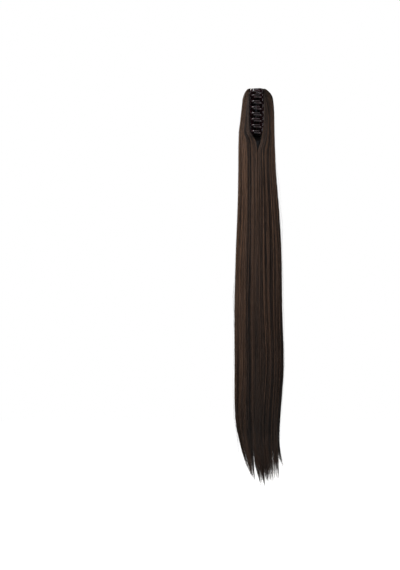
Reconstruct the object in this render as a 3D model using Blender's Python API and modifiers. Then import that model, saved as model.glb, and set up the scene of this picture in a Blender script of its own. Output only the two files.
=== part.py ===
# Ponytail hairpiece: long straight false hair sewn to both jaws of a spring claw clip.
# Metres, +Z up. The origin is the middle of the claw's mouth, where it grips. The teeth
# face -Y, the levers and the outer side of the hair face +Y, and the tail hangs down -Z.
# The tables hold millimetres.

import math

import bmesh
import bpy
import numpy as np
from mathutils import Matrix, Vector

MM = 0.001

# Claw
CLAW_TOP = 0.0400
CLAW_BOTTOM = -0.0424
JAW_CENTRE_Y = -0.0010
JAW_RADIUS = 0.0126          # middle of the side wall, at mid length
JAW_BOW = 0.21               # share of that radius lost at each end
JAW_WALL = 0.0020
JAW_BACK_DEG = 62.0          # the side wall's edge by the hinge, from +X
JAW_FRONT_DEG = -8.0         # the side wall's edge where the teeth start
JAW_STEP_DEG = 10.0
JAW_ROWS = 10

TOOTH_COUNT = 7
TOOTH_PITCH = 0.01077
TOOTH_PAIR_STEP = 0.0036     # a right tooth lies this far below its left one
TOOTH_TOP = 0.0279
TOOTH_HALF_THICK = 0.0009
TOOTH_TIP_THICK_SHARE = 0.62
TOOTH_HALF_HEIGHT_ROOT = 0.0019
TOOTH_HALF_HEIGHT_TIP = 0.00095
TOOTH_NARROWING = 1.3        # above 1, most of the height is lost near the root
TOOTH_TIP_DEG = -116.0
TOOTH_POINTS = 10
TOOTH_SIDES = 8
TOOTH_ROOT_DEG = -4.0        # inside the side wall

LEFT_END_BAND = (0.0400, 0.0344)
RIGHT_END_BAND = (0.0334, 0.0300)
LEFT_BAND_REACH_DEG = -114.0
RIGHT_BAND_REACH_DEG = -98.0

# Hinge
PIN_Y = 0.0120
PIN_RADIUS = 0.0009
PIN_HEAD_RADIUS = 0.0019
PIN_HEAD_THICK = 0.0008
BORE_RADIUS = 0.0012
KNUCKLE_RADIUS = 0.0031
KNUCKLE_HEIGHT = 0.0037
KNUCKLE_FIRST = 0.0060       # lower end of the knuckle next to the spring
KNUCKLE_STEP = 0.0040
WEB_THICK = 0.0026
WEB_START = 0.0016           # a web runs from here out to the lever's root
WEB_END = 0.0066
WEB_OFFSET = -0.0010
WEB_HEIGHT_SHARE = 0.9
FIT_GAP = 0.0003
ROUND_SIDES = 20

# Thumb levers
LEVER_THICK = 0.0020
LEVER_ROOT = (0.0062, 0.0098)
LEVER_MIDDLE = (0.0080, 0.0200)
LEVER_TIP = (0.0116, 0.0344)
LEVER_HALF_HEIGHT = 0.0120
LEVER_POINTS = 8
LEVER_ROOT_SHARE = 0.72      # of its height at the root
LEVER_FULL_AT = 0.40         # of its length, where it reaches its full height
LEVER_ROUND_FROM = 0.55      # of its length, where its end starts to round off
LEVER_ROUND_LENGTH = 0.50
LEVER_LEVELS = (1.0, 0.33, -0.33, -1.0)

# Torsion spring
WIRE_RADIUS = 0.0004
COIL_RADIUS = 0.0023
COIL_TURNS = 5.0
COIL_LENGTH = 0.0086
COIL_POINTS_PER_TURN = 10
LEG_END = (0.0070, 0.0236)

# Hair: the outer form at each height. Rows are z, left, right, front, back in mm.
SECTIONS = (
    (43.5, -10.0, 12.0, 9.0, 31.0),
    (38.0, -17.5, 17.5, -2.0, 37.0),
    (31.0, -21.0, 24.5, -6.5, 42.0),
    (20.0, -24.5, 30.0, -8.5, 46.0),
    (2.0, -24.8, 33.6, -9.0, 49.0),
    (-25.0, -30.0, 34.5, -9.5, 49.0),
    (-50.0, -31.7, 34.5, -10.0, 46.0),
    (-90.0, -31.8, 35.5, -10.5, 38.0),
    (-180.0, -32.2, 40.5, -10.5, 30.0),
    (-250.0, -35.4, 44.2, -9.5, 27.0),
    (-360.0, -38.0, 44.6, -8.5, 25.0),
    (-470.0, -37.4, 48.0, -7.5, 24.0),
    (-560.0, -37.6, 41.0, -6.5, 22.0),
    (-600.0, -34.0, 38.5, -6.0, 20.0),
)

# Crest of the hair that is sewn to the left jaw: angle about the pin, top height in mm.
# It has a lobe over each jaw and a notch between them.
LEFT_CREST = ((53, 40.5), (74, 43.4), (96, 37.2), (117, 41.8), (150, 40.0), (195, 38.0), (236, 33.0))
RIGHT_CREST = ((-57, 33.0), (-30, 36.5), (0, 39.0), (47, 40.5))

# Hollow inside the left hair: angle about the pin, radius in mm. It clears the swing of
# the right hair up to 93 degrees and the swing of the right lever up to 118.
LEFT_HOLLOW = ((53, 34.4), (93, 34.4), (104, 29.2), (119, 28.6), (136, 20.0), (160, 13.0), (200, 11.0))
# Hollow inside the right hair, beside its own lever and side wall.
RIGHT_HOLLOW = ((-20, 11.0), (20, 13.0), (47, 18.5))
RIGHT_SWING_LIMIT = 33.2     # mm about the pin, where the right hair passes under the left
RIGHT_SWING_GAP = 0.0008
RIGHT_SWING_DEG = 4.0        # the part of the right hair from here on passes under it

HAIR_SEAM_Z = -0.0450        # the sewn locks end here and the tail goes on
HAIR_SEAT_GAP = 0.0004
HAIR_LEAST_WALL = 0.0030
LEFT_HAIR_DEG = (53.0, 236.0)
RIGHT_HAIR_DEG = (-57.0, 47.0)
LEFT_SIDE_DEG = (53.0, 65.0, 78.0, 92.0)
RIDGE_DEG = 18.0             # width of one sewn lock about the pin
RIDGE_DEPTH = 0.0016
RIDGE_STEPS = 3
HAIR_ROWS = (0.0, 0.14, 0.28, 0.42, 0.56, 0.70, 0.80, 0.88, 0.94, 0.98, 1.0)
CREST_FULLNESS = 0.12        # the wall left at the crest, as a share of its thickness
CREST_SHARE = 0.70           # the wall starts to close towards its crest here

# Tail: one row for each lock, from the right side round by the back, left and front.
# Columns are angle about the tail, tip x, tip y, tip z in mm, and how late it bends away.
TAIL_LOCKS = (
    (0, 51.0, 7.0, -642.0, 4.5),
    (26, 43.0, 12.0, -655.0, 2.6),
    (52, 32.0, 15.0, -661.0, 2.2),
    (77, 20.0, 16.0, -664.0, 2.2),
    (103, 8.0, 15.0, -659.0, 2.2),
    (128, -2.0, 12.0, -653.0, 2.2),
    (154, -10.0, 10.0, -641.0, 2.6),
    (180, -17.0, 7.0, -627.0, 2.6),
    (206, -9.5, 3.0, -650.0, 2.6),
    (232, 0.0, 0.0, -667.0, 2.2),
    (257, 10.7, -2.0, -673.0, 2.2),
    (283, 24.0, -2.0, -669.0, 2.2),
    (308, 34.0, 0.0, -666.0, 2.2),
    (334, 41.5, 3.0, -661.0, 3.0),
)
LOCK_CENTRE_SHARE = 0.74     # a lock's middle, as a share of the way to the outer form
LOCK_OVERLAP = 1.28
LOCK_SIDES = 8
LOCK_FREE_Z = -0.545         # below this the locks part and run to their own tips
LOCK_TIP_SHARE = 0.05
LOCK_TOP_Z = -0.0420
LOCK_TOP_STEP = 0.0001
LOCK_LEVELS = (0.0, 0.05, 0.12, 0.22, 0.34, 0.48, 0.62, 0.74, 0.82, 0.87, 0.91, 0.95, 0.98, 1.0)
CORE_SHARE = 0.80
CORE_SIDES = 20
CORE_LEVELS = (-42.3, -60.0, -90.0, -130.0, -180.0, -250.0, -320.0, -400.0, -470.0, -520.0)
CORE_END_Z = -0.615
CORE_END_X = 0.0100
CORE_END_SHARE = 0.15
CORE_TURN = 0.07             # keeps the core's corners off the locks' corners
CAP_SIZE = 0.2

PLASTIC = ((0.050, 0.030, 0.030, 1.0), 0.28, 0.0)
STEEL = ((0.560, 0.560, 0.580, 1.0), 0.30, 1.0)
HAIR_TOP = ((0.040, 0.027, 0.022, 1.0), 0.42, 0.0)
HAIR_LONG = ((0.032, 0.021, 0.017, 1.0), 0.42, 0.0)


def clear_scene():
    for item in list(bpy.data.objects):
        bpy.data.objects.remove(item, do_unlink=True)


def make_collection(name, hidden=False):
    group = bpy.data.collections.new(name)
    bpy.context.scene.collection.children.link(group)
    group.hide_render = hidden
    return group


def make_material(name, values):
    colour, roughness, metallic = values
    material = bpy.data.materials.new(name)
    material.use_nodes = True
    material.diffuse_color = colour
    shader = material.node_tree.nodes["Principled BSDF"]
    shader.inputs["Base Color"].default_value = colour
    shader.inputs["Roughness"].default_value = roughness
    shader.inputs["Metallic"].default_value = metallic
    return material


def add_object(name, mesh, group):
    item = bpy.data.objects.new(name, mesh)
    group.objects.link(item)
    return item


def mesh_from_bmesh(name, shape):
    bmesh.ops.recalc_face_normals(shape, faces=shape.faces[:])
    mesh = bpy.data.meshes.new(name)
    shape.to_mesh(mesh)
    shape.free()
    return mesh


def bake(item):
    # The object's evaluated mesh, with loose caps welded, takes the place of its data.
    bpy.context.view_layer.update()
    evaluated = item.evaluated_get(bpy.context.evaluated_depsgraph_get())
    mesh = bpy.data.meshes.new_from_object(evaluated)
    shape = bmesh.new()
    shape.from_mesh(mesh)
    bmesh.ops.remove_doubles(shape, verts=shape.verts[:], dist=0.000001)
    bmesh.ops.recalc_face_normals(shape, faces=shape.faces[:])
    shape.to_mesh(mesh)
    shape.free()
    baked = bpy.data.objects.new(item.name + "_baked", mesh)
    baked.matrix_world = item.matrix_world.copy()
    item.users_collection[0].objects.link(baked)
    bpy.data.objects.remove(item, do_unlink=True)
    return baked


def combine(base, others, operation):
    for index, other in enumerate(others):
        cut = base.modifiers.new(f"join_{index}", "BOOLEAN")
        cut.operation = operation
        cut.solver = "EXACT"
        cut.object = other
    result = bake(base)
    for other in others:
        bpy.data.objects.remove(other, do_unlink=True)
    return result


def finish(item, name, material, group, smooth_deg=40.0):
    item.name = name
    item.data.name = name
    item.data.materials.clear()
    item.data.materials.append(material)
    item.data.shade_smooth()
    item.data.set_sharp_from_angle(angle=math.radians(smooth_deg))
    for holder in list(item.users_collection):
        holder.objects.unlink(item)
    group.objects.link(item)


def move_origin(item, point):
    item.data.transform(Matrix.Translation(-point))
    item.location = point


def loft(name, rings, group):
    # Closed rings of equal length, joined by quads, with a flat cap at each end.
    shape = bmesh.new()
    rows = [[shape.verts.new(point) for point in ring] for ring in rings]
    count = len(rows[0])
    for upper, lower in zip(rows, rows[1:]):
        for index in range(count):
            after = (index + 1) % count
            shape.faces.new((upper[index], upper[after], lower[after], lower[index]))
    shape.faces.new(rows[0])
    shape.faces.new(rows[-1][::-1])
    return add_object(name, mesh_from_bmesh(name, shape), group)


def wall_loft(name, outer, inner, group):
    # A wall between two open grids of the same size, closed on all four edges.
    shape = bmesh.new()
    out = [[shape.verts.new(point) for point in row] for row in outer]
    ins = [[shape.verts.new(point) for point in row] for row in inner]
    rows, columns = len(out), len(out[0])
    for row in range(rows - 1):
        for column in range(columns - 1):
            for side in (out, ins):
                shape.faces.new((side[row][column], side[row][column + 1],
                                 side[row + 1][column + 1], side[row + 1][column]))
        for column in (0, columns - 1):
            shape.faces.new((out[row][column], out[row + 1][column],
                             ins[row + 1][column], ins[row][column]))
    for row in (0, rows - 1):
        for column in range(columns - 1):
            shape.faces.new((out[row][column], out[row][column + 1],
                             ins[row][column + 1], ins[row][column]))
    return add_object(name, mesh_from_bmesh(name, shape), group)


def cylinder(name, radius, bottom, top, group, sides=ROUND_SIDES):
    shape = bmesh.new()
    bmesh.ops.create_cone(shape, cap_ends=True, segments=sides, radius1=radius,
                          radius2=radius, depth=top - bottom)
    item = add_object(name, mesh_from_bmesh(name, shape), group)
    item.location = (0.0, PIN_Y, 0.5 * (top + bottom))
    return item


def wire(name, points, radii, depth, group, resolution):
    curve = bpy.data.curves.new(name, "CURVE")
    curve.dimensions = "3D"
    curve.bevel_depth = depth
    curve.bevel_resolution = resolution
    curve.use_fill_caps = True
    spline = curve.splines.new("POLY")
    spline.points.add(len(points) - 1)
    for target, point, radius in zip(spline.points, points, radii):
        target.co = (*point, 1.0)
        target.radius = radius
    return bake(add_object(name, curve, group))


def smoothstep(value):
    value = min(max(value, 0.0), 1.0)
    return value * value * (3.0 - 2.0 * value)


def smooth_table(rows, column, where):
    # A smooth curve through one column of a table, over its first column.
    table = np.array(sorted(rows), dtype=float)
    keys, values = table[:, 0], table[:, column]
    where = min(max(where, keys[0]), keys[-1])
    slopes = np.gradient(values, keys)
    index = min(int(np.searchsorted(keys, where, side="right")) - 1, len(keys) - 2)
    span = keys[index + 1] - keys[index]
    t = (where - keys[index]) / span
    return float((2 * t**3 - 3 * t**2 + 1) * values[index]
                 + (t**3 - 2 * t**2 + t) * span * slopes[index]
                 + (3 * t**2 - 2 * t**3) * values[index + 1]
                 + (t**3 - t**2) * span * slopes[index + 1])


def hair_section(z):
    # Centre and half sizes of the hair's outer form at height z.
    left, right, front, back = (smooth_table(SECTIONS, column, z / MM) * MM for column in (1, 2, 3, 4))
    centre = ((left + right) / 2, (front + back) / 2)
    return centre, (right - left) / 2, (back - front) / 2


# Claw

def jaw_radius(z):
    middle = (CLAW_TOP + CLAW_BOTTOM) / 2
    share = (z - middle) / (CLAW_TOP - middle)
    return JAW_RADIUS * (1.0 - JAW_BOW * share * share)


def jaw_point(side, degrees, z):
    angle = math.radians(degrees)
    radius = jaw_radius(z)
    return Vector((side * radius * math.cos(angle), JAW_CENTRE_Y + radius * math.sin(angle), z))


def jaw_wall(side, band, reach, group):
    # The side wall and the band that reaches across at its top end, as one curved sheet.
    angles = list(np.arange(JAW_BACK_DEG, JAW_FRONT_DEG - 0.1, -JAW_STEP_DEG))
    wall_columns = len(angles)
    steps = round((JAW_FRONT_DEG - reach) / JAW_STEP_DEG)
    angles += [JAW_FRONT_DEG + (reach - JAW_FRONT_DEG) * step / steps for step in range(1, steps + 1)]
    levels = sorted({CLAW_TOP, *band, *np.linspace(band[1], CLAW_BOTTOM, JAW_ROWS)[1:]}, reverse=True)
    shape = bmesh.new()
    grid = {}
    for row, (upper, lower) in enumerate(zip(levels, levels[1:])):
        in_band = band[0] >= upper and lower >= band[1]
        columns = len(angles) if in_band else wall_columns
        for column in range(columns - 1):
            corners = ((row, column), (row + 1, column), (row + 1, column + 1), (row, column + 1))
            for corner in corners:
                if corner not in grid:
                    grid[corner] = shape.verts.new(jaw_point(side, angles[corner[1]], levels[corner[0]]))
            shape.faces.new([grid[corner] for corner in corners])
    sheet = add_object("jaw_wall", mesh_from_bmesh("jaw_wall", shape), group)
    thick = sheet.modifiers.new("wall", "SOLIDIFY")
    thick.thickness = JAW_WALL
    thick.offset = 0.0
    thick.use_even_offset = True
    return bake(sheet)


def tooth(side, z, group):
    # A curved flat bar with an oval section, tall at its root and slim at its tip.
    rings = []
    for share in np.linspace(0.0, 1.0, TOOTH_POINTS):
        centre = jaw_point(side, TOOTH_ROOT_DEG + (TOOTH_TIP_DEG - TOOTH_ROOT_DEG) * share, z)
        out = (centre - Vector((0.0, JAW_CENTRE_Y, z))).normalized()
        thick = TOOTH_HALF_THICK * (1.0 - (1.0 - TOOTH_TIP_THICK_SHARE) * share**2)
        left_over = (1.0 - share) ** TOOTH_NARROWING
        height = TOOTH_HALF_HEIGHT_TIP + (TOOTH_HALF_HEIGHT_ROOT - TOOTH_HALF_HEIGHT_TIP) * left_over
        turns = [2 * math.pi * (corner + 0.5) / TOOTH_SIDES for corner in range(TOOTH_SIDES)]
        rings.append([centre + out * thick * math.cos(turn) + Vector((0.0, 0.0, height * math.sin(turn)))
                      for turn in turns])
    return loft("tooth", rings, group)


def lever_point(share):
    # A quadratic curve through the lever's root, middle and tip in plan.
    root, middle, tip = (Vector(point) for point in (LEVER_ROOT, LEVER_MIDDLE, LEVER_TIP))
    control = 2 * middle - 0.5 * (root + tip)
    return (1 - share) ** 2 * root + 2 * share * (1 - share) * control + share**2 * tip


def lever(side, group):
    # A thumb plate whose height grows from its root and rounds off at its tip.
    shape = bmesh.new()
    rows = []
    for index in range(LEVER_POINTS):
        share = index / (LEVER_POINTS - 1)
        plan = lever_point(share)
        past = max(share - LEVER_ROUND_FROM, 0.0) / LEVER_ROUND_LENGTH
        growth = LEVER_ROOT_SHARE + (1.0 - LEVER_ROOT_SHARE) * smoothstep(share / LEVER_FULL_AT)
        half = LEVER_HALF_HEIGHT * growth * math.sqrt(1.0 - past * past)
        rows.append([shape.verts.new((side * plan.x, plan.y, half * level)) for level in LEVER_LEVELS])
    for near, far in zip(rows, rows[1:]):
        for index in range(len(near) - 1):
            shape.faces.new((near[index], near[index + 1], far[index + 1], far[index]))
    plate = add_object("lever", mesh_from_bmesh("lever", shape), group)
    thick = plate.modifiers.new("plate", "SOLIDIFY")
    thick.thickness = LEVER_THICK
    thick.offset = 0.0
    return bake(plate)


def knuckles(side, group):
    # Two barrels a jaw. Above the spring the right one is outside, below it the left one is.
    above = KNUCKLE_FIRST + (KNUCKLE_STEP if side > 0 else 0.0)
    below = -KNUCKLE_FIRST - KNUCKLE_HEIGHT - (0.0 if side > 0 else KNUCKLE_STEP)
    pieces = []
    for bottom in (above, below):
        pieces.append(cylinder("barrel", KNUCKLE_RADIUS, bottom, bottom + KNUCKLE_HEIGHT, group))
        shape = bmesh.new()
        bmesh.ops.create_cube(shape, size=1.0)
        web = add_object("web", mesh_from_bmesh("web", shape), group)
        size = (WEB_END - WEB_START, WEB_THICK, KNUCKLE_HEIGHT * WEB_HEIGHT_SHARE, 1.0)
        web.data.transform(Matrix.Diagonal(size))
        web.location = (side * (WEB_END + WEB_START) / 2, PIN_Y + WEB_OFFSET, bottom + KNUCKLE_HEIGHT / 2)
        pieces.append(web)
    return pieces


def make_jaw(name, side, material, group, work):
    band = RIGHT_END_BAND if side > 0 else LEFT_END_BAND
    reach = RIGHT_BAND_REACH_DEG if side > 0 else LEFT_BAND_REACH_DEG
    wall = jaw_wall(side, band, reach, work)
    first = TOOTH_TOP - (TOOTH_PAIR_STEP if side > 0 else 0.0)
    pieces = [tooth(side, first - TOOTH_PITCH * index, work) for index in range(TOOTH_COUNT)]
    pieces += [lever(side, work), *knuckles(side, work)]
    jaw = combine(wall, pieces, "UNION")
    bore = cylinder("bore", BORE_RADIUS, CLAW_BOTTOM, CLAW_TOP, work)
    jaw = combine(jaw, [bore], "DIFFERENCE")
    finish(jaw, name, material, group)
    move_origin(jaw, Vector((0.0, PIN_Y, 0.0)))


def make_pin(material, group, work):
    end = KNUCKLE_FIRST + KNUCKLE_STEP + KNUCKLE_HEIGHT + FIT_GAP
    shaft = cylinder("shaft", PIN_RADIUS, -end - PIN_HEAD_THICK / 2, end + PIN_HEAD_THICK / 2, work)
    heads = [cylinder("head", PIN_HEAD_RADIUS, base, base + PIN_HEAD_THICK, work)
             for base in (end, -end - PIN_HEAD_THICK)]
    finish(combine(shaft, heads, "UNION"), "hinge_pin", material, group)


def make_spring(material, group, work):
    # A leg on the right lever, the coil from the top down, and a leg on the left lever.
    steps = int(COIL_TURNS * COIL_POINTS_PER_TURN)
    points = [Vector((LEG_END[0], LEG_END[1], COIL_LENGTH / 2))]
    for step in range(steps + 1):
        angle = 2 * math.pi * COIL_TURNS * step / steps
        height = COIL_LENGTH * (0.5 - step / steps)
        points.append(Vector((COIL_RADIUS * math.cos(angle), PIN_Y + COIL_RADIUS * math.sin(-angle), height)))
    points.append(Vector((-LEG_END[0], LEG_END[1], -COIL_LENGTH / 2)))
    spring = wire("spring", points, [1.0] * len(points), WIRE_RADIUS, work, 2)
    finish(spring, "torsion_spring", material, group)


# Hair

def outer_radius(degrees, z):
    # From the pin to the hair's outer form, an ellipse, along one direction.
    centre, half_width, half_depth = hair_section(z)
    ax, ay = math.cos(math.radians(degrees)), math.sin(math.radians(degrees))
    px, py = -centre[0], PIN_Y - centre[1]
    a = (ax / half_width) ** 2 + (ay / half_depth) ** 2
    b = px * ax / half_width**2 + py * ay / half_depth**2
    c = (px / half_width) ** 2 + (py / half_depth) ** 2 - 1.0
    return (-b + math.sqrt(max(b * b - a * c, 0.0))) / a


def wall_radius(degrees, z):
    # From the pin to the outer face of the claw's side wall, or zero where it isn't met.
    radius = jaw_radius(min(max(z, CLAW_BOTTOM), CLAW_TOP)) + JAW_WALL / 2 + HAIR_SEAT_GAP
    drop = JAW_CENTRE_Y - PIN_Y
    rise = drop * math.sin(math.radians(degrees))
    inside = rise * rise - drop * drop + radius * radius
    return rise + math.sqrt(inside) if inside > 0.0 else 0.0


def hair_point(degrees, radius, z):
    angle = math.radians(degrees)
    return Vector((radius * math.cos(angle), PIN_Y + radius * math.sin(angle), z))


def sewn_hair(name, span, crest, hollow, limit, material, group, work):
    # A wall of locks round one side of the claw, closed to a rounded crest at the top.
    columns = RIDGE_STEPS * round((span[1] - span[0]) / RIDGE_DEG)
    outer, inner = [], []
    for share in HAIR_ROWS:
        outside, inside = [], []
        closing = max(share - CREST_SHARE, 0.0) / (1.0 - CREST_SHARE)
        fullness = max(math.sqrt(1.0 - closing * closing), CREST_FULLNESS)
        for column in range(columns + 1):
            degrees = span[0] + (span[1] - span[0]) * column / columns
            top = smooth_table(crest, 1, degrees) * MM
            z = HAIR_SEAM_Z + share * (top - HAIR_SEAM_Z)
            wall = wall_radius(degrees, z)
            far = outer_radius(degrees, z)
            if limit and degrees > RIGHT_SWING_DEG:
                far = min(far, limit(z))
            ridge = abs(math.sin(math.pi * column / RIDGE_STEPS))
            far = max(far - RIDGE_DEPTH * (1.0 - ridge), wall + HAIR_LEAST_WALL)
            near = min(np.interp(degrees, *zip(*hollow)) * MM, far - HAIR_LEAST_WALL)
            near = max(near, wall)
            middle, half = (far + near) / 2, (far - near) / 2 * fullness
            outside.append(hair_point(degrees, middle + half, z))
            inside.append(hair_point(degrees, middle - half, z))
        outer.append(outside)
        inner.append(inside)
    hair = wall_loft("sewn", outer, inner, work)
    finish(hair, name, material, group, 60.0)
    return hair


def swing_limit(z):
    # The right hair's radius where it turns under the left hair, at each height.
    free = min(outer_radius(degrees, z) for degrees in LEFT_SIDE_DEG)
    return min(RIGHT_SWING_LIMIT * MM, free - RIDGE_DEPTH - HAIR_LEAST_WALL - RIGHT_SWING_GAP)


def tail_lock(row, index, group):
    degrees, tip_x, tip_y, tip_z, lateness = row
    angle = math.radians(degrees)
    step = 2 * math.pi / len(TAIL_LOCKS)
    tip = Vector((tip_x, tip_y)) * MM
    top = LOCK_TOP_Z - LOCK_TOP_STEP * index
    rings = []
    for level in LOCK_LEVELS:
        z = top + (tip_z * MM - top) * level
        centre, half_width, half_depth = hair_section(z)
        out = Vector((half_width * math.cos(angle), half_depth * math.sin(angle)))
        along = Vector((-half_width * math.sin(angle), half_depth * math.cos(angle)))
        free = max(LOCK_FREE_Z - z, 0.0) / (LOCK_FREE_Z - tip_z * MM)
        place = (Vector(centre) + LOCK_CENTRE_SHARE * out).lerp(tip, free**lateness)
        taper = max((1.0 - free**1.5) ** 0.8, LOCK_TIP_SHARE)
        radial = (1.0 - LOCK_CENTRE_SHARE) * out.length * taper
        tangent = LOCK_OVERLAP * LOCK_CENTRE_SHARE * along.length * step / 2 * taper
        side = along.normalized()
        normal = Vector((side.y, -side.x))
        ring = []
        for corner in range(LOCK_SIDES):
            turn = 2 * math.pi * corner / LOCK_SIDES
            plan = place + normal * radial * math.cos(turn) + side * tangent * math.sin(turn)
            ring.append(Vector((plan.x, plan.y, z)))
        rings.append(ring)
    return loft("lock", rings, group)


def tail_core(group):
    rings = []
    levels = [level * MM for level in CORE_LEVELS] + [(LOCK_FREE_Z + CORE_END_Z) / 2, CORE_END_Z]
    for z in levels:
        centre, half_width, half_depth = hair_section(z)
        free = max(LOCK_FREE_Z - z, 0.0) / (LOCK_FREE_Z - CORE_END_Z)
        share = CORE_SHARE * (1.0 - (1.0 - CORE_END_SHARE) * free)
        x = centre[0] + (CORE_END_X - centre[0]) * free
        rings.append([Vector((x + share * half_width * math.cos(turn),
                              centre[1] + share * half_depth * math.sin(turn), z))
                      for turn in np.linspace(CORE_TURN, CORE_TURN + 2 * math.pi, CORE_SIDES, endpoint=False)])
    return loft("core", rings, group)


def make_tail(material, group, work):
    locks = [tail_lock(row, index, work) for index, row in enumerate(TAIL_LOCKS)]
    tail = combine(tail_core(work), locks, "UNION")
    shape = bmesh.new()
    bmesh.ops.create_cube(shape, size=CAP_SIZE)
    cap = add_object("cap", mesh_from_bmesh("cap", shape), work)
    cap.location = (0.0, 0.0, HAIR_SEAM_Z - HAIR_SEAT_GAP + CAP_SIZE / 2)
    tail = combine(tail, [cap], "DIFFERENCE")
    finish(tail, "hair_tail", material, group, 60.0)


def build():
    clear_scene()
    group = make_collection("ponytail_hairpiece")
    work = make_collection("construction", hidden=True)
    plastic = make_material("claw_plastic", PLASTIC)
    steel = make_material("spring_steel", STEEL)
    hair_top = make_material("hair_sewn", HAIR_TOP)
    hair_long = make_material("hair_long", HAIR_LONG)

    make_jaw("jaw_left", -1, plastic, group, work)
    make_jaw("jaw_right", 1, plastic, group, work)
    make_pin(steel, group, work)
    make_spring(steel, group, work)
    sewn_hair("hair_left", LEFT_HAIR_DEG, LEFT_CREST, LEFT_HOLLOW, None, hair_top, group, work)
    right = sewn_hair("hair_right", RIGHT_HAIR_DEG, RIGHT_CREST, RIGHT_HOLLOW, swing_limit,
                      hair_top, group, work)
    move_origin(right, Vector((0.0, PIN_Y, 0.0)))
    make_tail(hair_long, group, work)


build()
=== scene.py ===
import math

import bpy
import numpy as np
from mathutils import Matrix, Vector


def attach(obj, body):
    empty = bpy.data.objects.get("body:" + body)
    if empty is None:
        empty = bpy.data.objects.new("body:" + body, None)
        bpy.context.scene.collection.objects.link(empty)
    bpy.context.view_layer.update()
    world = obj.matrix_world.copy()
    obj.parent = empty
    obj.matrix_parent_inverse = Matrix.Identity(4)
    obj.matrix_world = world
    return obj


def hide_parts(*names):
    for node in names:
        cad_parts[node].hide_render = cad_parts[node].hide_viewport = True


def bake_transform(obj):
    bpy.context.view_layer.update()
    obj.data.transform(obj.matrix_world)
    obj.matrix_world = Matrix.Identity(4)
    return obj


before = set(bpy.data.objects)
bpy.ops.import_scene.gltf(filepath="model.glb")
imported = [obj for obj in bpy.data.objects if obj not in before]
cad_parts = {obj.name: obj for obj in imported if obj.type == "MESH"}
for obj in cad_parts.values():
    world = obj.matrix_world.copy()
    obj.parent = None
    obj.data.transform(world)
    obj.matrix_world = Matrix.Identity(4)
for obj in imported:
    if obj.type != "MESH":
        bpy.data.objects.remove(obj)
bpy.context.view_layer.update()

mm = 0.001
tiny = 1e-9
dice = np.random.default_rng(20)

# The camera looks along +Y at the toothed side. One photo pixel is pixelSize at the claw.
view = {
    "pixelSize": 1.814 * mm,
    "originPixel": (256.5, 111.0),  # where the claw's mouth lies in the photo
    "framePixels": (400, 570),
    "distance": 3.0,
    "sensor": 36.0,
    "farthest": 50.0,
}


def makeCamera():
    wide, high = view["framePixels"]
    across, down = view["originPixel"]
    data = bpy.data.cameras.new("camera")
    data.sensor_width = view["sensor"]
    data.lens = view["sensor"] * view["distance"] / (high * view["pixelSize"])
    data.clip_end = view["farthest"]
    camera = bpy.data.objects.new("camera", data)
    bpy.context.scene.collection.objects.link(camera)
    camera.location = ((wide / 2 - across) * view["pixelSize"], -view["distance"],
                       (down - high / 2) * view["pixelSize"])
    camera.rotation_euler = (math.radians(90), 0, 0)
    bpy.context.scene.camera = camera


studio = {
    "floorZ": -0.93,
    "floorSize": 9.0,
    "floorFinish": ((0.93, 0.93, 0.93), 0.9, 0.5),  # colour, roughness, specular
    "floorGlow": 0.75,
    "seenWhite": 1.0,  # the backdrop, as the camera sees it
    "roomLight": 0.24,  # the soft light that comes from all sides
    "lamps": (  # name, place, width and height, watts, colour
        ("keyLeft", (-2.1, -1.2, 0.8), (0.5, 1.6), 60.0, (0.97, 0.98, 1.0)),
        ("fillRight", (2.0, -1.2, 0.1), (0.5, 1.6), 17.0, (0.93, 0.96, 1.0)),
        ("strip", (0.0, -2.5, 1.5), (3.6, 0.12), 20.0, (0.78, 0.89, 1.0)),
        ("back", (-0.6, 2.2, 0.9), (1.2, 1.2), 26.0, (1.0, 0.95, 0.90)),
    ),
    "aim": (0.0, 0.0, -0.27),
}


def makeStudio():
    scene = bpy.context.scene
    scene.view_settings.view_transform = "Standard"
    world = bpy.data.worlds.new("studio")
    scene.world = world
    world.use_nodes = True
    tree = world.node_tree
    back = tree.nodes["Background"]
    back.inputs["Color"].default_value = (1, 1, 1, 1)
    rays = addNode(tree, "ShaderNodeLightPath")
    strength = addNode(tree, "ShaderNodeMapRange")
    strength.inputs["To Min"].default_value = studio["roomLight"]
    strength.inputs["To Max"].default_value = studio["seenWhite"]
    tree.links.new(rays.outputs["Is Camera Ray"], strength.inputs["Value"])
    tree.links.new(strength.outputs["Result"], back.inputs["Strength"])
    half = studio["floorSize"] / 2
    mesh = bpy.data.meshes.new("floor")
    corners = [(-half, -half), (half, -half), (half, half), (-half, half)]
    mesh.from_pydata([(x, y, studio["floorZ"]) for x, y in corners], [], [(0, 1, 2, 3)])
    floor = bpy.data.objects.new("floor", mesh)
    scene.collection.objects.link(floor)
    paint, tree, shader = nodeMaterial("paleFloor", *studio["floorFinish"])
    shader.inputs["Emission Color"].default_value = (1, 1, 1, 1)
    shader.inputs["Emission Strength"].default_value = studio["floorGlow"]
    mesh.materials.append(paint)
    for name, place, size, watts, colour in studio["lamps"]:
        lamp = bpy.data.lights.new(name, "AREA")
        lamp.shape = "RECTANGLE"
        lamp.size, lamp.size_y = size
        lamp.energy = watts
        lamp.color = colour
        item = bpy.data.objects.new(name, lamp)
        scene.collection.objects.link(item)
        item.location = place
        away = item.location - Vector(studio["aim"])
        item.rotation_euler = away.to_track_quat("Z", "Y").to_euler()


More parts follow.
